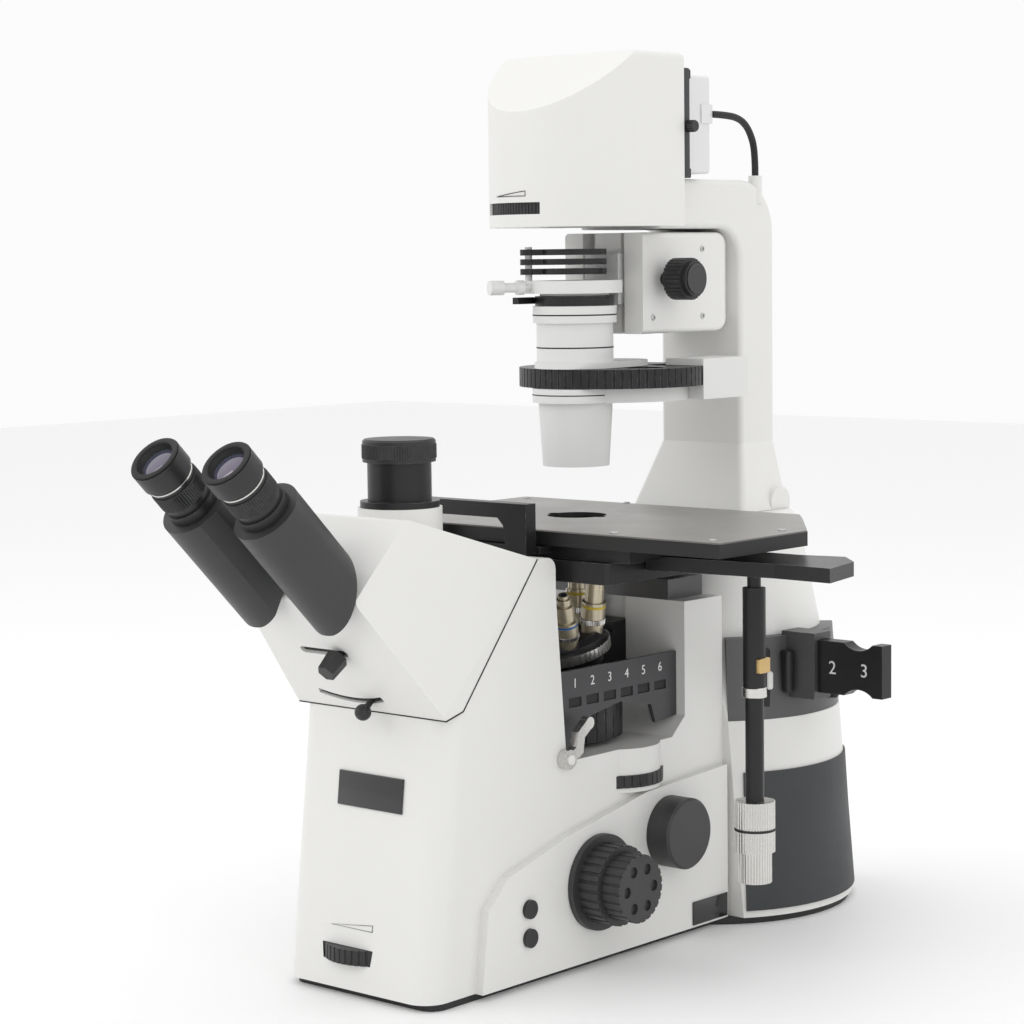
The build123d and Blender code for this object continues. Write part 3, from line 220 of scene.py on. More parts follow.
# Fine orange peel of enamel and mouldings, with slow colour drift and a roughness that varies
def buildSurfaceGrain():
    group, start, end = newGroup(
        "surfaceGrain",
        [("Colour", "NodeSocketColor", (0.8, 0.8, 0.8, 1)), ("Grain Scale", "NodeSocketFloat", 900.0),
         ("Drift", "NodeSocketFloat", 0.04), ("Roughness Low", "NodeSocketFloat", 0.3),
         ("Roughness High", "NodeSocketFloat", 0.4)],
        [("Colour", "NodeSocketColor"), ("Roughness", "NodeSocketFloat"),
         ("Height", "NodeSocketFloat")],
    )
    place = group.nodes.new("ShaderNodeTexCoord").outputs["Object"]
    grain = noiseNode(group, start.outputs["Grain Scale"], grainLook["peelDetail"], place)
    slow = noiseNode(group, *grainLook["slow"], place)
    speck = noiseNode(group, *grainLook["speck"], place)
    darker = group.nodes.new("ShaderNodeHueSaturation")
    darker.inputs["Value"].default_value = grainLook["darker"]
    group.links.new(start.outputs["Colour"], darker.inputs["Color"])
    blotches = mathNode(group, "ADD", slow, mathNode(group, "MULTIPLY", speck, grainLook["colourSpeck"]))
    wander = mathNode(group, "MULTIPLY", blotches, start.outputs["Drift"])
    tinted = mixColors(group, wander, start.outputs["Colour"], darker.outputs["Color"])
    patchy = mathNode(group, "ADD", slow, mathNode(group, "MULTIPLY", speck, grainLook["roughSpeck"]))
    rough = rangeNode(group, patchy, *grainLook["roughRange"], start.outputs["Roughness Low"],
                      start.outputs["Roughness High"])
    group.links.new(tinted, end.inputs["Colour"])
    group.links.new(rough, end.inputs["Roughness"])
    group.links.new(grain, end.inputs["Height"])
    return group


rubLook = {
    "samples": 4,
    "bend": (0.995, 0.9),  # how far the rounded normal leaves the flat one
    "patches": (160, 4),  # scale and detail of what breaks the edge up
    "patchRange": (0.42, 0.6, 0.15, 1.0),
}


# Mask of edges, broken up, for rubbed paint and bright anodised edges
def buildEdgeRub():
    group, start, end = newGroup(
        "edgeRub",
        [("Width", "NodeSocketFloat", 0.0006), ("Amount", "NodeSocketFloat", 0.4)],
        [("Mask", "NodeSocketFloat")],
    )
    place = group.nodes.new("ShaderNodeTexCoord").outputs["Object"]
    rounded = group.nodes.new("ShaderNodeBevel")
    rounded.samples = rubLook["samples"]
    group.links.new(start.outputs["Width"], rounded.inputs["Radius"])
    flat = group.nodes.new("ShaderNodeNewGeometry").outputs["Normal"]
    same = group.nodes.new("ShaderNodeVectorMath")
    same.operation = "DOT_PRODUCT"
    group.links.new(rounded.outputs["Normal"], same.inputs[0])
    group.links.new(flat, same.inputs[1])
    bent = rangeNode(group, same.outputs["Value"], *rubLook["bend"], 0.0, 1.0)
    broken = rangeNode(group, noiseNode(group, *rubLook["patches"], place), *rubLook["patchRange"])
    rubbed = mathNode(group, "MULTIPLY", bent, broken)
    group.links.new(mathNode(group, "MULTIPLY", rubbed, start.outputs["Amount"]), end.inputs["Mask"])
    return group


# Long fine scratches along one direction, as on brushed and turned metal
def buildBrushedLines():
    group, start, end = newGroup(
        "brushedLines",
        [("Stretch", "NodeSocketVector", (20.0, 900.0, 900.0))],
        [("Lines", "NodeSocketFloat")],
    )
    place = group.nodes.new("ShaderNodeTexCoord").outputs["Object"]
    stretched = group.nodes.new("ShaderNodeVectorMath")
    stretched.operation = "MULTIPLY"
    group.links.new(place, stretched.inputs[0])
    group.links.new(start.outputs["Stretch"], stretched.inputs[1])
    lines = noiseNode(group, 1.0, 5, stretched.outputs["Vector"])
    group.links.new(lines, end.inputs["Lines"])
    return group


dustLook = {
    "upward": (0.5, 1.0),
    "patches": (45, 6),
    "patchRange": (0.4, 0.8),
}


# Thin dust on faces that look up
def buildRestingDust():
    group, start, end = newGroup(
        "restingDust",
        [("Amount", "NodeSocketFloat", 0.1)],
        [("Mask", "NodeSocketFloat")],
    )
    place = group.nodes.new("ShaderNodeTexCoord").outputs["Object"]
    split = group.nodes.new("ShaderNodeSeparateXYZ")
    group.links.new(group.nodes.new("ShaderNodeNewGeometry").outputs["Normal"], split.inputs[0])
    upward = rangeNode(group, split.outputs["Z"], *dustLook["upward"], 0.0, 1.0)
    speckled = noiseNode(group, *dustLook["patches"], place)
    patches = rangeNode(group, speckled, *dustLook["patchRange"], 0.0, 1.0)
    lying = mathNode(group, "MULTIPLY", upward, patches)
    group.links.new(mathNode(group, "MULTIPLY", lying, start.outputs["Amount"]), end.inputs["Mask"])
    return group


surfaceGrain = buildSurfaceGrain()
edgeRub = buildEdgeRub()
brushedLines = buildBrushedLines()
restingDust = buildRestingDust()


def useGroup(tree, group, values):
    node = tree.nodes.new("ShaderNodeGroup")
    node.node_tree = group
    for label, value in values.items():
        node.inputs[label].default_value = value
    return node


surfaceLook = {
    "rubWidth": 0.0007,
    "lineBrightness": 1.35,
    "topFacing": (0.6, 0.9),
    "dustColour": (0.5, 0.49, 0.47, 1),
    "reliefDepth": 0.0004,
}


def finish(name, colour, rough, metal=0.0, grain=900.0, bump=0.08, drift=0.1, rub=None, rubAmount=0.0,
           dust=0.0, stretch=None, lineDepth=0.0, coat=0.0, side=None):
    made = bpy.data.materials.new(name)
    made.use_nodes = True
    tree = made.node_tree
    shader = tree.nodes["Principled BSDF"]
    surface = useGroup(tree, surfaceGrain, {
        "Colour": (*colour, 1), "Grain Scale": grain, "Drift": drift,
        "Roughness Low": rough[0], "Roughness High": rough[1]})
    shade = surface.outputs["Colour"]
    height = surface.outputs["Height"]
    if rub:
        edge = useGroup(tree, edgeRub, {"Width": surfaceLook["rubWidth"], "Amount": rubAmount})
        worn = tree.nodes.new("ShaderNodeRGB")
        worn.outputs[0].default_value = (*rub, 1)
        shade = mixColors(tree, edge.outputs["Mask"], shade, worn.outputs[0])
    if stretch:
        lines = useGroup(tree, brushedLines, {"Stretch": stretch})
        light = tree.nodes.new("ShaderNodeHueSaturation")
        light.inputs["Value"].default_value = surfaceLook["lineBrightness"]
        tree.links.new(shade, light.inputs["Color"])
        streaks = mathNode(tree, "MULTIPLY", lines.outputs["Lines"], lineDepth)
        shade = mixColors(tree, streaks, shade, light.outputs["Color"])
        height = mathNode(tree, "ADD", height, lines.outputs["Lines"])
    if side:  # another colour on faces that don't look up
        facing = tree.nodes.new("ShaderNodeSeparateXYZ")
        tree.links.new(tree.nodes.new("ShaderNodeNewGeometry").outputs["Normal"], facing.inputs[0])
        dark = tree.nodes.new("ShaderNodeRGB")
        dark.outputs[0].default_value = (*side, 1)
        upward = rangeNode(tree, facing.outputs["Z"], *surfaceLook["topFacing"], 0.0, 1.0)
        shade = mixColors(tree, upward, dark.outputs[0], shade)
    if dust:
        lying = useGroup(tree, restingDust, {"Amount": dust})
        pale = tree.nodes.new("ShaderNodeRGB")
        pale.outputs[0].default_value = surfaceLook["dustColour"]
        shade = mixColors(tree, lying.outputs["Mask"], shade, pale.outputs[0])
    tree.links.new(shade, shader.inputs["Base Color"])
    tree.links.new(surface.outputs["Roughness"], shader.inputs["Roughness"])
    shader.inputs["Metallic"].default_value = metal
    shader.inputs["Coat Weight"].default_value = coat
    relief = tree.nodes.new("ShaderNodeBump")
    relief.inputs["Strength"].default_value = bump
    relief.inputs["Distance"].default_value = surfaceLook["reliefDepth"]
    tree.links.new(height, relief.inputs["Height"])
    tree.links.new(relief.outputs["Normal"], shader.inputs["Normal"])
    return made


finishes = {
    "whiteEnamel": dict(colour=(0.77, 0.765, 0.745), rough=(0.30, 0.42), grain=1500, bump=0.05, drift=0.05,
                        rub=(0.86, 0.86, 0.85), rubAmount=0.3),
    "whiteMoulding": dict(colour=(0.77, 0.765, 0.745), rough=(0.36, 0.48), grain=1900, bump=0.06, drift=0.05,
                          rub=(0.86, 0.86, 0.85), rubAmount=0.3),
    "condenserWhite": dict(colour=(0.74, 0.74, 0.73), rough=(0.34, 0.46), grain=2400, bump=0.10, drift=0.06),
    "charcoalCover": dict(colour=(0.036, 0.038, 0.041), rough=(0.46, 0.60), grain=2600, bump=0.14, drift=0.2,
                          rub=(0.10, 0.10, 0.10), rubAmount=0.5),
    "blackRubber": dict(colour=(0.014, 0.014, 0.014), rough=(0.55, 0.72), grain=1500, bump=0.15, drift=0.3),
    "blackPlastic": dict(colour=(0.017, 0.017, 0.018), rough=(0.34, 0.50), grain=2200, bump=0.12, drift=0.25,
                         rub=(0.09, 0.09, 0.09), rubAmount=0.6),
    "greyPlastic": dict(colour=(0.036, 0.036, 0.037), rough=(0.38, 0.52), grain=2200, bump=0.12, drift=0.2,
                        rub=(0.14, 0.14, 0.14), rubAmount=0.5),
    "blackAnodised": dict(colour=(0.020, 0.020, 0.021), rough=(0.30, 0.42), metal=0.4, grain=3200, bump=0.06,
                          drift=0.2, rub=(0.30, 0.30, 0.31), rubAmount=0.5),
    # Black of the base plate: painted shade, standing for the shadow gap under the body's bottom edge
    "baseBlackPaintedShade": dict(colour=(0.018, 0.018, 0.018), rough=(0.50, 0.65), grain=1600, bump=0.25, drift=0.2),
    "panelGrey": dict(colour=(0.070, 0.070, 0.074), rough=(0.36, 0.48), metal=0.4, grain=2600, bump=0.10,
                      drift=0.2, rub=(0.3, 0.3, 0.3), rubAmount=0.5),
    # Dark grey metal of the collar; on the stage bracket this dark grey is painted shade, standing for white
    # enamel in shadow under the stage
    "darkMetalAndPaintedShade": dict(colour=(0.11, 0.11, 0.113), rough=(0.34, 0.46), metal=0.6, grain=2600, bump=0.10,
                     drift=0.2, rub=(0.42, 0.42, 0.42), rubAmount=0.5),
    "groundSteel": dict(colour=(0.56, 0.56, 0.56), rough=(0.22, 0.36), metal=1.0, grain=2600, bump=0.05,
                        drift=0.2, stretch=(900, 900, 30), lineDepth=0.4),
    "brightSteel": dict(colour=(0.70, 0.69, 0.67), rough=(0.20, 0.32), metal=1.0, grain=2600, bump=0.05,
                        drift=0.2),
    "objectiveLacquer": dict(colour=(0.60, 0.53, 0.39), rough=(0.24, 0.36), metal=0.7, grain=2600, bump=0.05,
                             drift=0.15, coat=0.3),
    "finWhite": dict(colour=(0.76, 0.76, 0.76), rough=(0.30, 0.44), metal=0.2, grain=2600, bump=0.08,
                     drift=0.1),
    "stageSilver": dict(colour=(0.27, 0.26, 0.245), rough=(0.32, 0.44), metal=0.35, grain=2600, bump=0.06,
                        drift=0.15, stretch=(30, 900, 900), lineDepth=0.4, rub=(0.6, 0.6, 0.6), rubAmount=0.6,
                        side=(0.02, 0.02, 0.02), dust=0.08),
    "plateBlack": dict(colour=(0.010, 0.010, 0.011), rough=(0.18, 0.28), grain=1800, bump=0.04, drift=0.2,
                       coat=0.5),
    "whitePrint": dict(colour=(0.78, 0.78, 0.77), rough=(0.4, 0.5), grain=2400, bump=0.02, drift=0.05),
    "brassTrim": dict(colour=(0.62, 0.44, 0.20), rough=(0.24, 0.36), metal=1.0, grain=2400, bump=0.05,
                      drift=0.2),
    "bandYellow": dict(colour=(0.75, 0.55, 0.05), rough=(0.3, 0.4), grain=2400, bump=0.03, drift=0.1),
    "bandGreen": dict(colour=(0.05, 0.30, 0.12), rough=(0.3, 0.4), grain=2400, bump=0.03, drift=0.1),
    "bandBlue": dict(colour=(0.05, 0.16, 0.42), rough=(0.3, 0.4), grain=2400, bump=0.03, drift=0.1),
    "bandRed": dict(colour=(0.50, 0.05, 0.04), rough=(0.3, 0.4), grain=2400, bump=0.03, drift=0.1),
}
made = {name: finish(name, **values) for name, values in finishes.items()}


glassLook = {
    "blend": 0.35,
    "ahead": (0.10, 0.03, 0.12, 1),  # violet bloom of the coating, seen square on
    "aside": (0.02, 0.10, 0.08, 1),
    "roughness": 0.05,
    "coat": 1.0,
    "specular": 0.8,
}


def addGlass(settings):
    lens = bpy.data.materials.new("coatedGlass")
    lens.use_nodes = True
    tree = lens.node_tree
    shader = tree.nodes["Principled BSDF"]
    facing = tree.nodes.new("ShaderNodeLayerWeight")
    facing.inputs["Blend"].default_value = settings["blend"]
    ramp = tree.nodes.new("ShaderNodeValToRGB")
    ramp.color_ramp.elements[0].color = settings["ahead"]
    ramp.color_ramp.elements[1].color = settings["aside"]
    tree.links.new(facing.outputs["Facing"], ramp.inputs["Fac"])
    tree.links.new(ramp.outputs["Color"], shader.inputs["Base Color"])
    shader.inputs["Roughness"].default_value = settings["roughness"]
    shader.inputs["Coat Weight"].default_value = settings["coat"]
    shader.inputs["Specular IOR Level"].default_value = settings["specular"]
    return lens


made["coatedGlass"] = addGlass(glassLook)
print("finishes made")

dressing = {
    "whiteEnamel": ["main_frame", "tower_housing", "pillar_arm", "condenser_rail_box"],
    "whiteMoulding": ["side_covers", "head_casing", "lamp_head_cover"],
    "condenserWhite": ["condenser_bracket", "clamp_screw", "condenser_body", "condenser_lens_cone"],
    "charcoalCover": ["tower_side_panels", "lamp_plate"],
    "blackRubber": ["rubber_pads"],
    # The base plate's black is painted shade for the shadow gap under the body
    "baseBlackPaintedShade": ["base_plate"],
    "blackPlastic": ["path_slider_knob", "ball_lever", "photo_tube_cap", "eyepiece_right", "eyepiece_left",
                     "push_button_upper", "push_button_lower", "side_wheel", "brightness_wheel",
                     "diaphragm_dial", "condenser_knob"],
    "greyPlastic": ["coarse_knobs", "fine_knobs", "light_path_knob", "prism_housing_right",
                    "prism_housing_left", "bridge_pivot"],
    "blackAnodised": ["photo_tube", "filter_slider", "filter_turret", "nosepiece_carrier", "nosepiece_turret",
                      "stage_base", "stage_carriage", "stage_guard", "drive_post", "aperture_ring",
                      "condenser_disc", "filter_holder_lower", "filter_holder_middle", "filter_holder_upper"],
    # The stage bracket's dark grey is painted shade for white enamel in shadow; the collar is dark grey metal
    "darkMetalAndPaintedShade": ["filter_collar", "stage_bracket"],
    "panelGrey": ["number_panel"],
    "groundSteel": ["fine_shaft"],
    "brightSteel": ["refocus_lever", "turret_grip_ring", "y_drive_knob", "x_drive_knob"],
    "objectiveLacquer": ["objectives"],
    "finWhite": ["lamp_heatsink"],
    "stageSilver": ["stage_top_plate", "stage_insert"],
    "coatedGlass": ["collector_lens"],
}
for name, dressed in dressing.items():
    for node in dressed:
        solid = nodes[node]
        solid.data.materials.clear()
        solid.data.materials.append(made[name])
cable.data.materials.append(made["blackRubber"])
softened = {  # rounded edge of the solids that show, in millimetres
    "main_frame": 2.0, "head_casing": 1.6, "side_covers": 1.5, "lamp_head_cover": 1.2,
    "tower_housing": 1.2, "condenser_rail_box": 0.8, "filter_collar": 0.8, "number_panel": 0.5,
    "stage_guard": 0.8, "pillar_arm": 0.8,
}
softEdge = {"segments": 3, "flattest": 28}
for node, width in softened.items():
    rounding = nodes[node].modifiers.new("edgeRounding", "BEVEL")
    rounding.width = width / 1000
    rounding.segments = softEdge["segments"]
    rounding.limit_method = "ANGLE"
    rounding.angle_limit = math.radians(softEdge["flattest"])
    rounding.harden_normals = True
print("solids dressed")


def frameAt(origin, xDir, zDir):
    across = Vector(xDir).normalized()
    out = Vector(zDir).normalized()
    up = out.cross(across)
    turn = Matrix((across, up, out)).transposed().to_4x4()
    return Matrix.Translation(Vector(origin) / 1000) @ turn


frontFace = frameAt((0, -250, 222), (1, 0, 0), (0, -97, -79))
leanFace = frameAt((0, -275, 6), (1, 0, 0), (0, -216, 25))
eyeFace = frameAt((0, -324, 324), (1, 0, 0), (0, -1, 1))
unmoved = Matrix.Identity(4)
sharpAngle = 32  # degrees, from which an edge stays crisp


def addPiece(name, mesh, body, finishName, place):
    mesh.transform(place)
    mesh.materials.append(made[finishName])
    mesh.shade_smooth()
    mesh.set_sharp_from_angle(angle=math.radians(sharpAngle))
    piece = bpy.data.objects.new(name, mesh)
    bpy.context.collection.objects.link(piece)
    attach(piece, body)
    return piece


# A softened block between two corners in millimetres, in the plane of its place
def slab(name, low, high, edge):
    shape = bmesh.new()
    bmesh.ops.create_cube(shape, size=1)
    for vert in shape.verts:
        vert.co = Vector([(low[i] + (vert.co[i] + 0.5) * (high[i] - low[i])) / 1000 for i in range(3)])
    bmesh.ops.bevel(shape, geom=shape.edges[:], offset=edge / 1000, segments=3, affect="EDGES", profile=0.5)
    mesh = bpy.data.meshes.new(name)
    shape.to_mesh(mesh)
    shape.free()
    return mesh


# A turned ring or disc, from (radius, height) points in millimetres round a closed loop.
# Ribs cut its widest points.
def turned(name, profile, segments=72, ribs=0, ribDepth=0.0):
    shape = bmesh.new()
    widest = max(radius for radius, height in profile)
    count = 2 * ribs if ribs else segments
    rings = []
    for radius, height in profile:
        ring = []
        for number in range(count):
            angle = 2 * math.pi * number / count
            reach = radius - (ribDepth if ribs and number % 2 and radius > widest - 0.5 else 0)
            spot = (reach * math.cos(angle) / 1000, reach * math.sin(angle) / 1000, height / 1000)
            ring.append(shape.verts.new(spot))
        rings.append(ring)
    for first, second in zip(rings, rings[1:] + rings[:1]):
        for number in range(count):
            after = (number + 1) % count
            shape.faces.new((first[number], first[after], second[after], second[number]))
    bmesh.ops.remove_doubles(shape, verts=shape.verts[:], dist=1e-6)
    bmesh.ops.recalc_face_normals(shape, faces=shape.faces[:])
    mesh = bpy.data.meshes.new(name)
    shape.to_mesh(mesh)
    shape.free()
    return mesh


def ringProfile(inner, outer, low, high, edge=0.4):
    return [(inner, low), (outer - edge, low), (outer, low + edge), (outer, high - edge),
            (outer - edge, high), (inner, high)]


def discProfile(radius, low, high, edge=0.4):
    return ringProfile(0.01, radius, low, high, edge)


# A thin bead along points in millimetres
def addLine(name, points, width, body, finishName, place, cyclic=False):
    data = bpy.data.curves.new(name, "CURVE")
    data.dimensions = "3D"
    data.bevel_depth = width / 2000
    data.bevel_resolution = 3
    data.use_fill_caps = True
    spline = data.splines.new("POLY")
    spline.points.add(len(points) - 1)
    for point, spot in zip(spline.points, points):
        point.co = (*(place @ (Vector(spot) / 1000)), 1)
    spline.use_cyclic_u = cyclic
    data.materials.append(made[finishName])
    line = bpy.data.objects.new(name, data)
    bpy.context.collection.objects.link(line)
    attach(line, body)
    return line


printDepth = 0.0001  # metres


def addNumber(name, text, height, body, place):
    data = bpy.data.curves.new(name, "FONT")
    data.body = text
    data.size = height / 1000
    data.extrude = printDepth
    data.align_x = "CENTER"
    data.align_y = "CENTER"
    data.materials.append(made["whitePrint"])
    number = bpy.data.objects.new(name, data)
    number.matrix_world = place
    bpy.context.collection.objects.link(number)
    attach(number, body)
    return number


# The two bare name plates. From here on, lengths are in millimetres and angles in degrees.
platePieces = {
    "frontPlate": {"place": leanFace, "low": (-29, 142, 0), "high": (40, 169, 1.6)},
    "sidePlate": {"place": frameAt((87, 0, 0), (0, 1, 0), (1, 0, 0)),
                  "low": (42, 8, 0), "high": (90, 28, 1.4)},
}
plateEdge = 0.6
for name, plate in platePieces.items():
    addPiece(name, slab(name, plate["low"], plate["high"], plateEdge), "stand", "plateBlack",
             plate["place"])

# The joint between the head casing and the main casting
casingSeam = {"flank": [(-250, 222), (-231, 227), (-143, 335)], "halfWidth": 79, "width": 1.3}


def addCasingSeam(settings):
    half = settings["halfWidth"]
    for side in (-1, 1):
        flank = [(side * half, y, z) for y, z in settings["flank"]]
        addLine(f"casingSeam{side + 1}", flank, settings["width"], "stand", "blackRubber",
                unmoved)
    front = [(-half, *settings["flank"][0]), (half, *settings["flank"][0])]
    addLine("casingSeamFront", front, settings["width"], "stand", "blackRubber", unmoved)


addCasingSeam(casingSeam)

# Dark linings of the casing's two slots
straightSlot = {"low": (-33, 62, -6), "high": (15, 68, -2.5), "edge": 0.5}
addPiece("straightSlotLiner",
         slab("straightSlotLiner", straightSlot["low"], straightSlot["high"], straightSlot["edge"]),
         "stand", "blackRubber", frontFace)
bowedSlot = {"centre": (-10, 121), "radius": 110, "start": 252, "end": 286, "steps": 24,
             "depth": -3.2, "width": 4.6}


def bowPoints(settings):
    points = []
    for step in range(settings["steps"] + 1):
        share = step / settings["steps"]
        turn = math.radians(settings["start"] + (settings["end"] - settings["start"]) * share)
        points.append((settings["centre"][0] + settings["radius"] * math.cos(turn),
                       settings["centre"][1] + settings["radius"] * math.sin(turn), settings["depth"]))
    return points


addLine("bowedSlotLiner", bowPoints(bowedSlot), bowedSlot["width"], "stand", "blackRubber",
        frontFace)

# Wedge over the brightness wheel, for less and more light
wedgeWidth = 0.7
wheelWedge = [(-28, 48, 0.1), (16, 53, 0.1), (16, 48, 0.1)]
addLine("wheelWedge", wheelWedge, wedgeWidth, "stand", "greyPlastic", leanFace, cyclic=True)

# Plain numbers on the panel and on the filter slider
panelNumbers = {"count": 6, "first": -88, "pitch": 22, "z": 229, "x": 70.05, "height": 11}
for number in range(panelNumbers["count"]):
    spot = (panelNumbers["x"], panelNumbers["first"] + number * panelNumbers["pitch"], panelNumbers["z"])
    addNumber(f"panelNumber{number + 1}", str(number + 1), panelNumbers["height"], "stand",
              frameAt(spot, (0, 1, 0), (1, 0, 0)))
panelWindow = {"low": (66.6, -100, 209), "high": (69, 36, 219), "edge": 0.3}
addPiece("panelWindowLiner",
         slab("panelWindowLiner", panelWindow["low"], panelWindow["high"], panelWindow["edge"]),
         "stand", "blackRubber", unmoved)
sliderNumbers = {"places": {"2": 153, "3": 185}, "y": 152.95, "z": 219, "height": 16}
for text, x in sliderNumbers["places"].items():
    addNumber(f"sliderNumber{text}", text, sliderNumbers["height"], "filter_slider",
              frameAt((x, sliderNumbers["y"], sliderNumbers["z"]), (1, 0, 0), (0, -1, 0)))

# The same wedge over the field diaphragm's dial, on the round of the lamp head
dialWedge = {"radius": 70.2, "low": 619, "high": 623, "start": -113, "end": -84, "steps": 12}


def dialWedgePoints(settings):
    base = []
    slope = []
    for step in range(settings["steps"] + 1):
        share = step / settings["steps"]
        turn = math.radians(settings["start"] + (settings["end"] - settings["start"]) * share)
        x = settings["radius"] * math.cos(turn)
        y = settings["radius"] * math.sin(turn)
        base.append((x, y, settings["low"]))
        slope.append((x, y, settings["low"] + (settings["high"] - settings["low"]) * share))
    return base + slope[::-1]


addLine("dialWedge", dialWedgePoints(dialWedge), wedgeWidth, "pillar", "greyPlastic",
        unmoved)
print("plates, seams and numbers placed")

eyepieceTrim = {
    "distance": 38,  # from the middle to each tube's axis
    "drop": -2,
    "grip": ringProfile(17.9, 19.6, 110, 124),
    "gripRibs": 60,
    "gripRibDepth": 0.7,
    "band": ringProfile(17.9, 18.5, 127, 128.2, 0.2),
    "rim": [(15.4, 148), (19.4, 148), (20.1, 148.8), (19.2, 149.8), (16.4, 149.8), (15.2, 148.8)],
    "lensRadius": 14.2,
    "lensBase": 142,
    "lensEdge": 143,
    "lensCrown": 2.6,
}


def lensProfile(settings):
    radius, edge, crown = (settings[key] for key in ("lensRadius", "lensEdge", "lensCrown"))
    dome = [(0.01, settings["lensBase"]), (radius, settings["lensBase"])]
    for angle in range(0, 90, 15):
        turn = math.radians(angle)
        dome.append((radius * math.cos(turn), edge + crown * math.sin(turn)))
    return dome + [(0.01, edge + crown)]


def addEyepieceTrim(settings):
    for side, body in ((1, "right_eyepiece"), (-1, "left_eyepiece")):
        shift = (side * settings["distance"] / 1000, settings["drop"] / 1000, 0)
        tube = eyeFace @ Matrix.Translation(shift)
        grip = turned("grip", settings["grip"], ribs=settings["gripRibs"], ribDepth=settings["gripRibDepth"])
        addPiece(f"dioptreGrip{side + 1}", grip, body, "blackPlastic", tube)
        band = turned("band", settings["band"])
        addPiece(f"eyepieceBand{side + 1}", band, body, "brightSteel", tube)
        rim = turned("rim", settings["rim"])
        addPiece(f"eyecupRim{side + 1}", rim, body, "blackRubber", tube)
        lens = turned("lens", lensProfile(settings))
        addPiece(f"eyeLens{side + 1}", lens, body, "coatedGlass", tube)


addEyepieceTrim(eyepieceTrim)

capGrip = {"tubeY": -214, "profile": ringProfile(28.4, 29.2, 416, 427, 0.3), "ribs": 90, "ribDepth": 0.5}
addPiece("photoCapGrip",
         turned("photoCapGrip", capGrip["profile"], ribs=capGrip["ribs"], ribDepth=capGrip["ribDepth"]),
         "photo_cap", "blackPlastic",
         frameAt((0, capGrip["tubeY"], 0), (1, 0, 0), (0, 0, 1)))

# The objectives' heights are those of the longest one and shrink with each one's length
objectiveBands = {
    "tilt": 13,
    "circle": 31,
    "seatZ": 258,
    "seatStep": 4,
    "radius": 10.15,
    "longest": 60,
    "lengths": [60, 54, 46, 40, 48, 56],
    "finishes": ["bandYellow", "bandGreen", "bandBlue", "bandRed", "bandBlue", "bandYellow"],
    "band": (25, 27.5),
    "grip": (10, 15),
    "gripRibs": 44,
    "gripRibDepth": 0.5,
    "lens": (59.6, 60.2),
    "lensRadius": 3,
}


def addObjectiveBands(settings):
    tilt = math.radians(settings["tilt"])
    circle = settings["circle"]
    axis = Vector((0, -math.sin(tilt), math.cos(tilt)))
    across = Vector((1, 0, 0))
    ahead = axis.cross(across)
    apex = Vector((0, 0, settings["seatZ"] - circle / math.sin(tilt)))
    centre = apex + axis * (circle / math.tan(tilt))
    radius = settings["radius"]
    for number, length in enumerate(settings["lengths"]):
        turn = math.radians(90 + 60 * number)
        outward = across * math.cos(turn) + ahead * math.sin(turn)
        along = axis * math.cos(tilt) + outward * math.sin(tilt)
        seat = frameAt(centre + outward * circle + along * settings["seatStep"],
                       along.cross(Vector((1, 0.3, 0))), along)
        share = length / settings["longest"]
        low, high = (height * share for height in settings["band"])
        band = turned("band", ringProfile(radius - 0.4, radius, low, high, 0.1))
        colour = settings["finishes"][number]
        addPiece(f"objectiveBand{number}", band, "nosepiece", colour, seat)
        low, high = (height * share for height in settings["grip"])
        grip = turned("grip", ringProfile(radius - 1, radius + 0.5, low, high, 0.3),
                      ribs=settings["gripRibs"], ribDepth=settings["gripRibDepth"])
        addPiece(f"objectiveGrip{number}", grip, "nosepiece", "brightSteel", seat)
        low, high = (height * share for height in settings["lens"])
        lens = turned("lens", discProfile(settings["lensRadius"], low, high, 0.2))
        addPiece(f"frontLens{number}", lens, "nosepiece", "coatedGlass", seat)


addObjectiveBands(objectiveBands)
print("optics trimmed")


# Head of a socket screw, seated on a face that looks along out
def addScrew(name, spot, out, radius, body):
    side = (1, 0, 0) if abs(out[0]) < 0.9 else (0, 1, 0)
    place = frameAt(spot, side, out)
    head = [(0.01, 0.05), (radius * 0.5, 0.05), (radius * 0.55, radius * 0.45),
            (radius * 0.85, radius * 0.45), (radius, radius * 0.25), (radius, -0.2), (0.01, -0.2)]
    addPiece(name, turned("head", head, segments=32), body, "groundSteel", place)


stageScrews = {"top": 354, "radius": 3.0,
               "places": [(-136, -98), (-136, 94), (216, -98), (216, -8), (120, -98), (-30, 104)]}
for number, (x, y) in enumerate(stageScrews["places"]):
    addScrew(f"stageScrew{number}", (x, y, stageScrews["top"]), (0, 0, 1), stageScrews["radius"], "stage_top")
railScrews = {"radius": 2.6, "places": [(42, 120, 575), (42, 120, 518), (42, 52, 518)]}
for number, spot in enumerate(railScrews["places"]):
    addScrew(f"railScrew{number}", spot, (1, 0, 0), railScrews["radius"], "pillar")

# Bright ring, brass clip and knob groove of the stage's drive post
postTrim = {
    "x": 183,
    "ring": ringProfile(7.6, 9.9, 218, 226),
    "clipLow": (6, -7, 238),
    "clipHigh": (11, 7, 250),
    "groove": ringProfile(15.5, 16.6, 110, 112, 0.3),
}
post = frameAt((postTrim["x"], 0, 0), (1, 0, 0), (0, 0, 1))
addPiece("postRing", turned("postRing", postTrim["ring"]), "stage_carriage", "brightSteel",
         post)
addPiece("postClip", slab("postClip", postTrim["clipLow"], postTrim["clipHigh"], 1), "stage_carriage",
         "brassTrim", post)
addPiece("postKnobGroove", turned("postKnobGroove", postTrim["groove"]), "y_knob",
         "blackRubber", post)

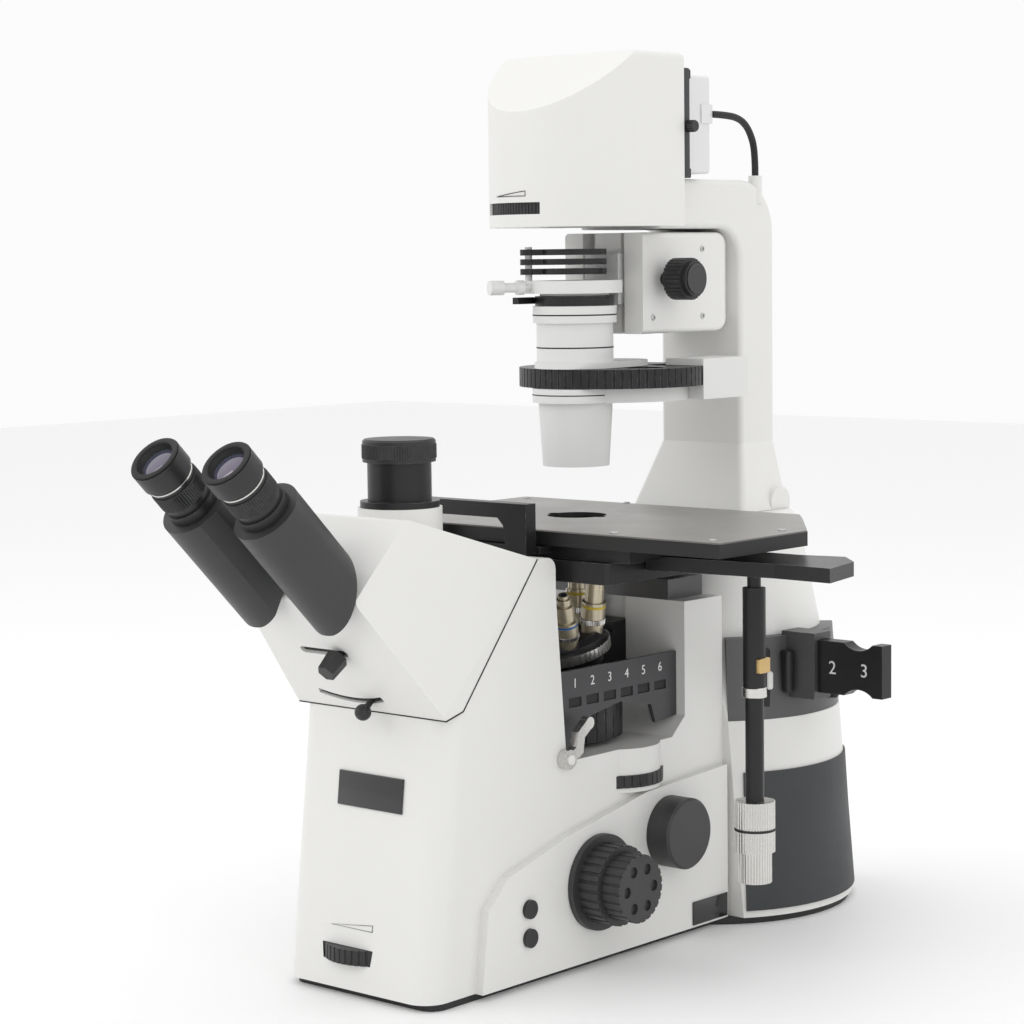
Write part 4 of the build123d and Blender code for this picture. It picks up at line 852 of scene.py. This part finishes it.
# Recess, window and levers on the round of the tower's dark collar
collar = {"radius": 113, "towerY": 178, "sunk": 4, "edge": 2.4}
collarPieces = [  # name, angle, height, half width, half height, depth, finish
    ("collarRecess", -30, 209, 11, 26, 3.2, "blackRubber"),
    ("collarWindow", -25, 207, 3.2, 8, 5.0, "whiteMoulding"),
    ("collarLeverFront", -17, 214, 3.6, 18, 10, "blackPlastic"),
    ("collarLeverRear", 17, 196, 3.6, 14, 10, "blackPlastic"),
]


def onCollar(angle, height):
    turn = math.radians(angle)
    x = collar["radius"] * math.cos(turn)
    y = collar["towerY"] + collar["radius"] * math.sin(turn)
    return frameAt((x, y, height), (-math.sin(turn), math.cos(turn), 0), (math.cos(turn), math.sin(turn), 0))


for name, angle, height, halfWidth, halfHeight, depth, finishName in collarPieces:
    low = (-halfWidth, -halfHeight, -collar["sunk"])
    block = slab(name, low, (halfWidth, halfHeight, depth), collar["edge"])
    addPiece(name, block, "stand", finishName, onCollar(angle, height))

condenserGrooves = [  # name, radius, low, high
    ("condenserGroove", 32.2, 494, 495.2),
    ("flangeGroove", 35.2, 521, 522.2),
    ("coneGroove", 36.2, 455, 456),
]
for name, radius, low, high in condenserGrooves:
    groove = turned(name, ringProfile(radius - 1, radius, low, high, 0.2))
    addPiece(name, groove, "condenser", "blackRubber", unmoved)
condenserLens = discProfile(19.5, 400, 401.8, 0.5)
addPiece("condenserLens", turned("condenserLens", condenserLens), "condenser", "coatedGlass",
         unmoved)
knobCap = {"y": 67, "z": 550, "profile": discProfile(12.5, 76, 77.2, 0.4)}
addPiece("condenserKnobCap", turned("condenserKnobCap", knobCap["profile"]), "condenser_drive",
         "greyPlastic", frameAt((0, knobCap["y"], knobCap["z"]), (0, 1, 0), (1, 0, 0)))

# Seals, dark frame and thumb screw between the lamp head and its heat sink
lampSeals = {"x": 55, "heights": (638, 720), "half": 4, "front": 69, "back": 84, "edge": 1.2}
lampFrame = {"low": (-69, 60.3, 634), "high": (69, 69.6, 724), "edge": 1.5}
lampScrew = {"spot": (68.5, 66, 676), "profile": discProfile(5, 0, 9, 0.8), "ribs": 18, "ribDepth": 0.5}


def addLampTrim():
    half = lampSeals["half"]
    for number, z in enumerate(lampSeals["heights"]):
        for side in (-1, 1):
            x = side * lampSeals["x"]
            seal = slab("lampSeal", (x - half, lampSeals["front"], z - half),
                        (x + half, lampSeals["back"], z + half), lampSeals["edge"])
            addPiece(f"lampSeal{number}{side + 1}", seal, "pillar", "blackRubber", unmoved)
    addPiece("lampPlateFrame", slab("lampPlateFrame", lampFrame["low"], lampFrame["high"], lampFrame["edge"]),
             "pillar", "charcoalCover", unmoved)
    knob = turned("lampScrewKnob", lampScrew["profile"], ribs=lampScrew["ribs"],
                  ribDepth=lampScrew["ribDepth"])
    addPiece("lampScrewKnob", knob, "pillar", "blackPlastic",
             frameAt(lampScrew["spot"], (0, 1, 0), (1, 0, 0)))


addLampTrim()
print("trim placed")

print("scene complete")
